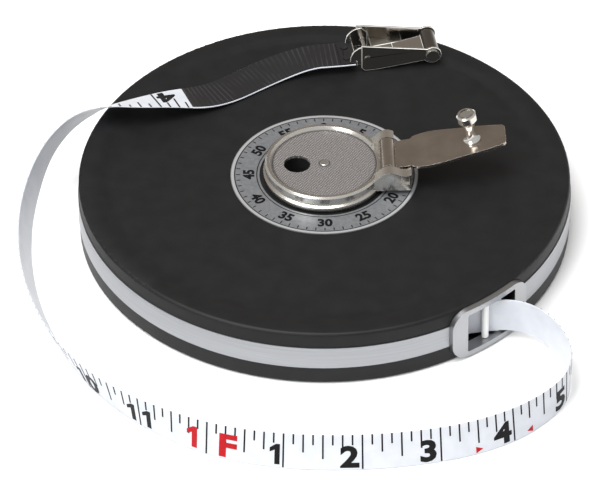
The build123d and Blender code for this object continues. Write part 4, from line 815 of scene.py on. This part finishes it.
block = add_node(dial_tree, "GeometryNodeMeshCube", {"Size": add_node(dial_tree, "ShaderNodeCombineXYZ", {
    0: given["Length"], 1: given["Width"], 2: given["Depth"]}).outputs[0]})
strokes = add_node(dial_tree, "GeometryNodeInstanceOnPoints", {
    "Points": raised.outputs[0], "Instance": block.outputs["Mesh"],
    "Rotation": add_node(dial_tree, "ShaderNodeCombineXYZ", {2: turn.outputs[0]}).outputs[0]})
dial_strokes = run_tree(dial_tree, strokes, dial_values, black_ink, "dial_strokes")

# %% Dial figures
DIAL_FIGURE_SIZE = 5.0 * MM
DIAL_FIGURE_FOOT = 23.6 * MM
DIAL_FIGURES = 12
dial_parts = []
for k in range(DIAL_FIGURES):
    piece = lettering(str(5 * k), f"dial_figure_{5 * k}", DIAL_FIGURE_SIZE, black_ink)
    turn = radians(90 - 360 / DIAL_FIGURES * k)
    if sin(turn) < -0.1:        # the lower figures stand upright too
        high = max(v.co.y for v in piece.data.vertices)
        piece.data.transform(Matrix.Translation((0, high, 0)) @ Matrix.Rotation(pi, 4, "Z"))
    piece.data.transform(Matrix.Translation((0, DIAL_FIGURE_FOOT, 0)))
    piece.data.transform(Matrix.Rotation(turn - pi / 2, 4, "Z"))
    piece.data.transform(Matrix.Translation((0, 0, LABEL_TOP)))
    dial_parts.append(piece)
dial_figures = join(dial_parts, "dial_figures")
for piece in (dial_strokes, dial_figures):
    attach(piece, "case")
print("dial strokes", len(dial_strokes.data.polygons), "figures", len(dial_figures.data.polygons))

# %% [markdown]
# ## Stage
# A pale floor, one wide soft light above and a fill from the camera's side. Bright metal shows what stands round it,
# so the room matters as much as the lights: behind the reel, where level metal mirrors it, the room is dark and
# warm, and everywhere else it is pale.

# %% Floor and lights
floor_paint, tree, shader = finish("pale_paper_sweep", "#fbfbfb", 0.95)
FLOOR_HEIGHT = -0.1 * MM     # a hair under the case, so that the two never share a plane
floor = new_piece("floor", [(x, y, FLOOR_HEIGHT) for x, y in ((-3, -3), (3, -3), (3, 3), (-3, 3))], [(0, 1, 2, 3)],
                  smooth=False)
floor.data.materials.append(floor_paint)


def soft_light(name, place, aim, size, watts):
    """A square area light at place, turned to aim."""
    data = bpy.data.lights.new(name, "AREA")
    data.size = size
    data.energy = watts
    light = bpy.data.objects.new(name, data)
    bpy.context.scene.collection.objects.link(light)
    light.location = place
    light.rotation_euler = (Vector(aim) - Vector(place)).to_track_quat("-Z", "Y").to_euler()


soft_light("top_light", (-0.35, -0.25, 1.7), (0, 0, 0), 1.3, 34)
soft_light("front_light", (-1.1, -1.3, 1.2), (0, 0, 0), 0.9, 16)
world = bpy.data.worlds.new("studio")
bpy.context.scene.world = world
world.use_nodes = True
sky = world.node_tree
background = sky.nodes["Background"]
looking = add_node(sky, "ShaderNodeTexCoord")
toward_wall = add_node(sky, "ShaderNodeVectorMath", {0: looking.outputs["Generated"],
                                                    1: (-0.1, cos(ELEVATION), sin(ELEVATION))}, operation="DOT_PRODUCT")
WALL = [(0.0, "#f1f2f3"), (0.62, "#e4e4e4"), (0.80, "#bdb6af"), (1.0, "#aba39b")]
sky.links.new(ramp(sky, toward_wall.outputs["Value"], WALL), background.inputs[0])
background.inputs[1].default_value = 0.8
bpy.context.scene.view_settings.view_transform = "Standard"
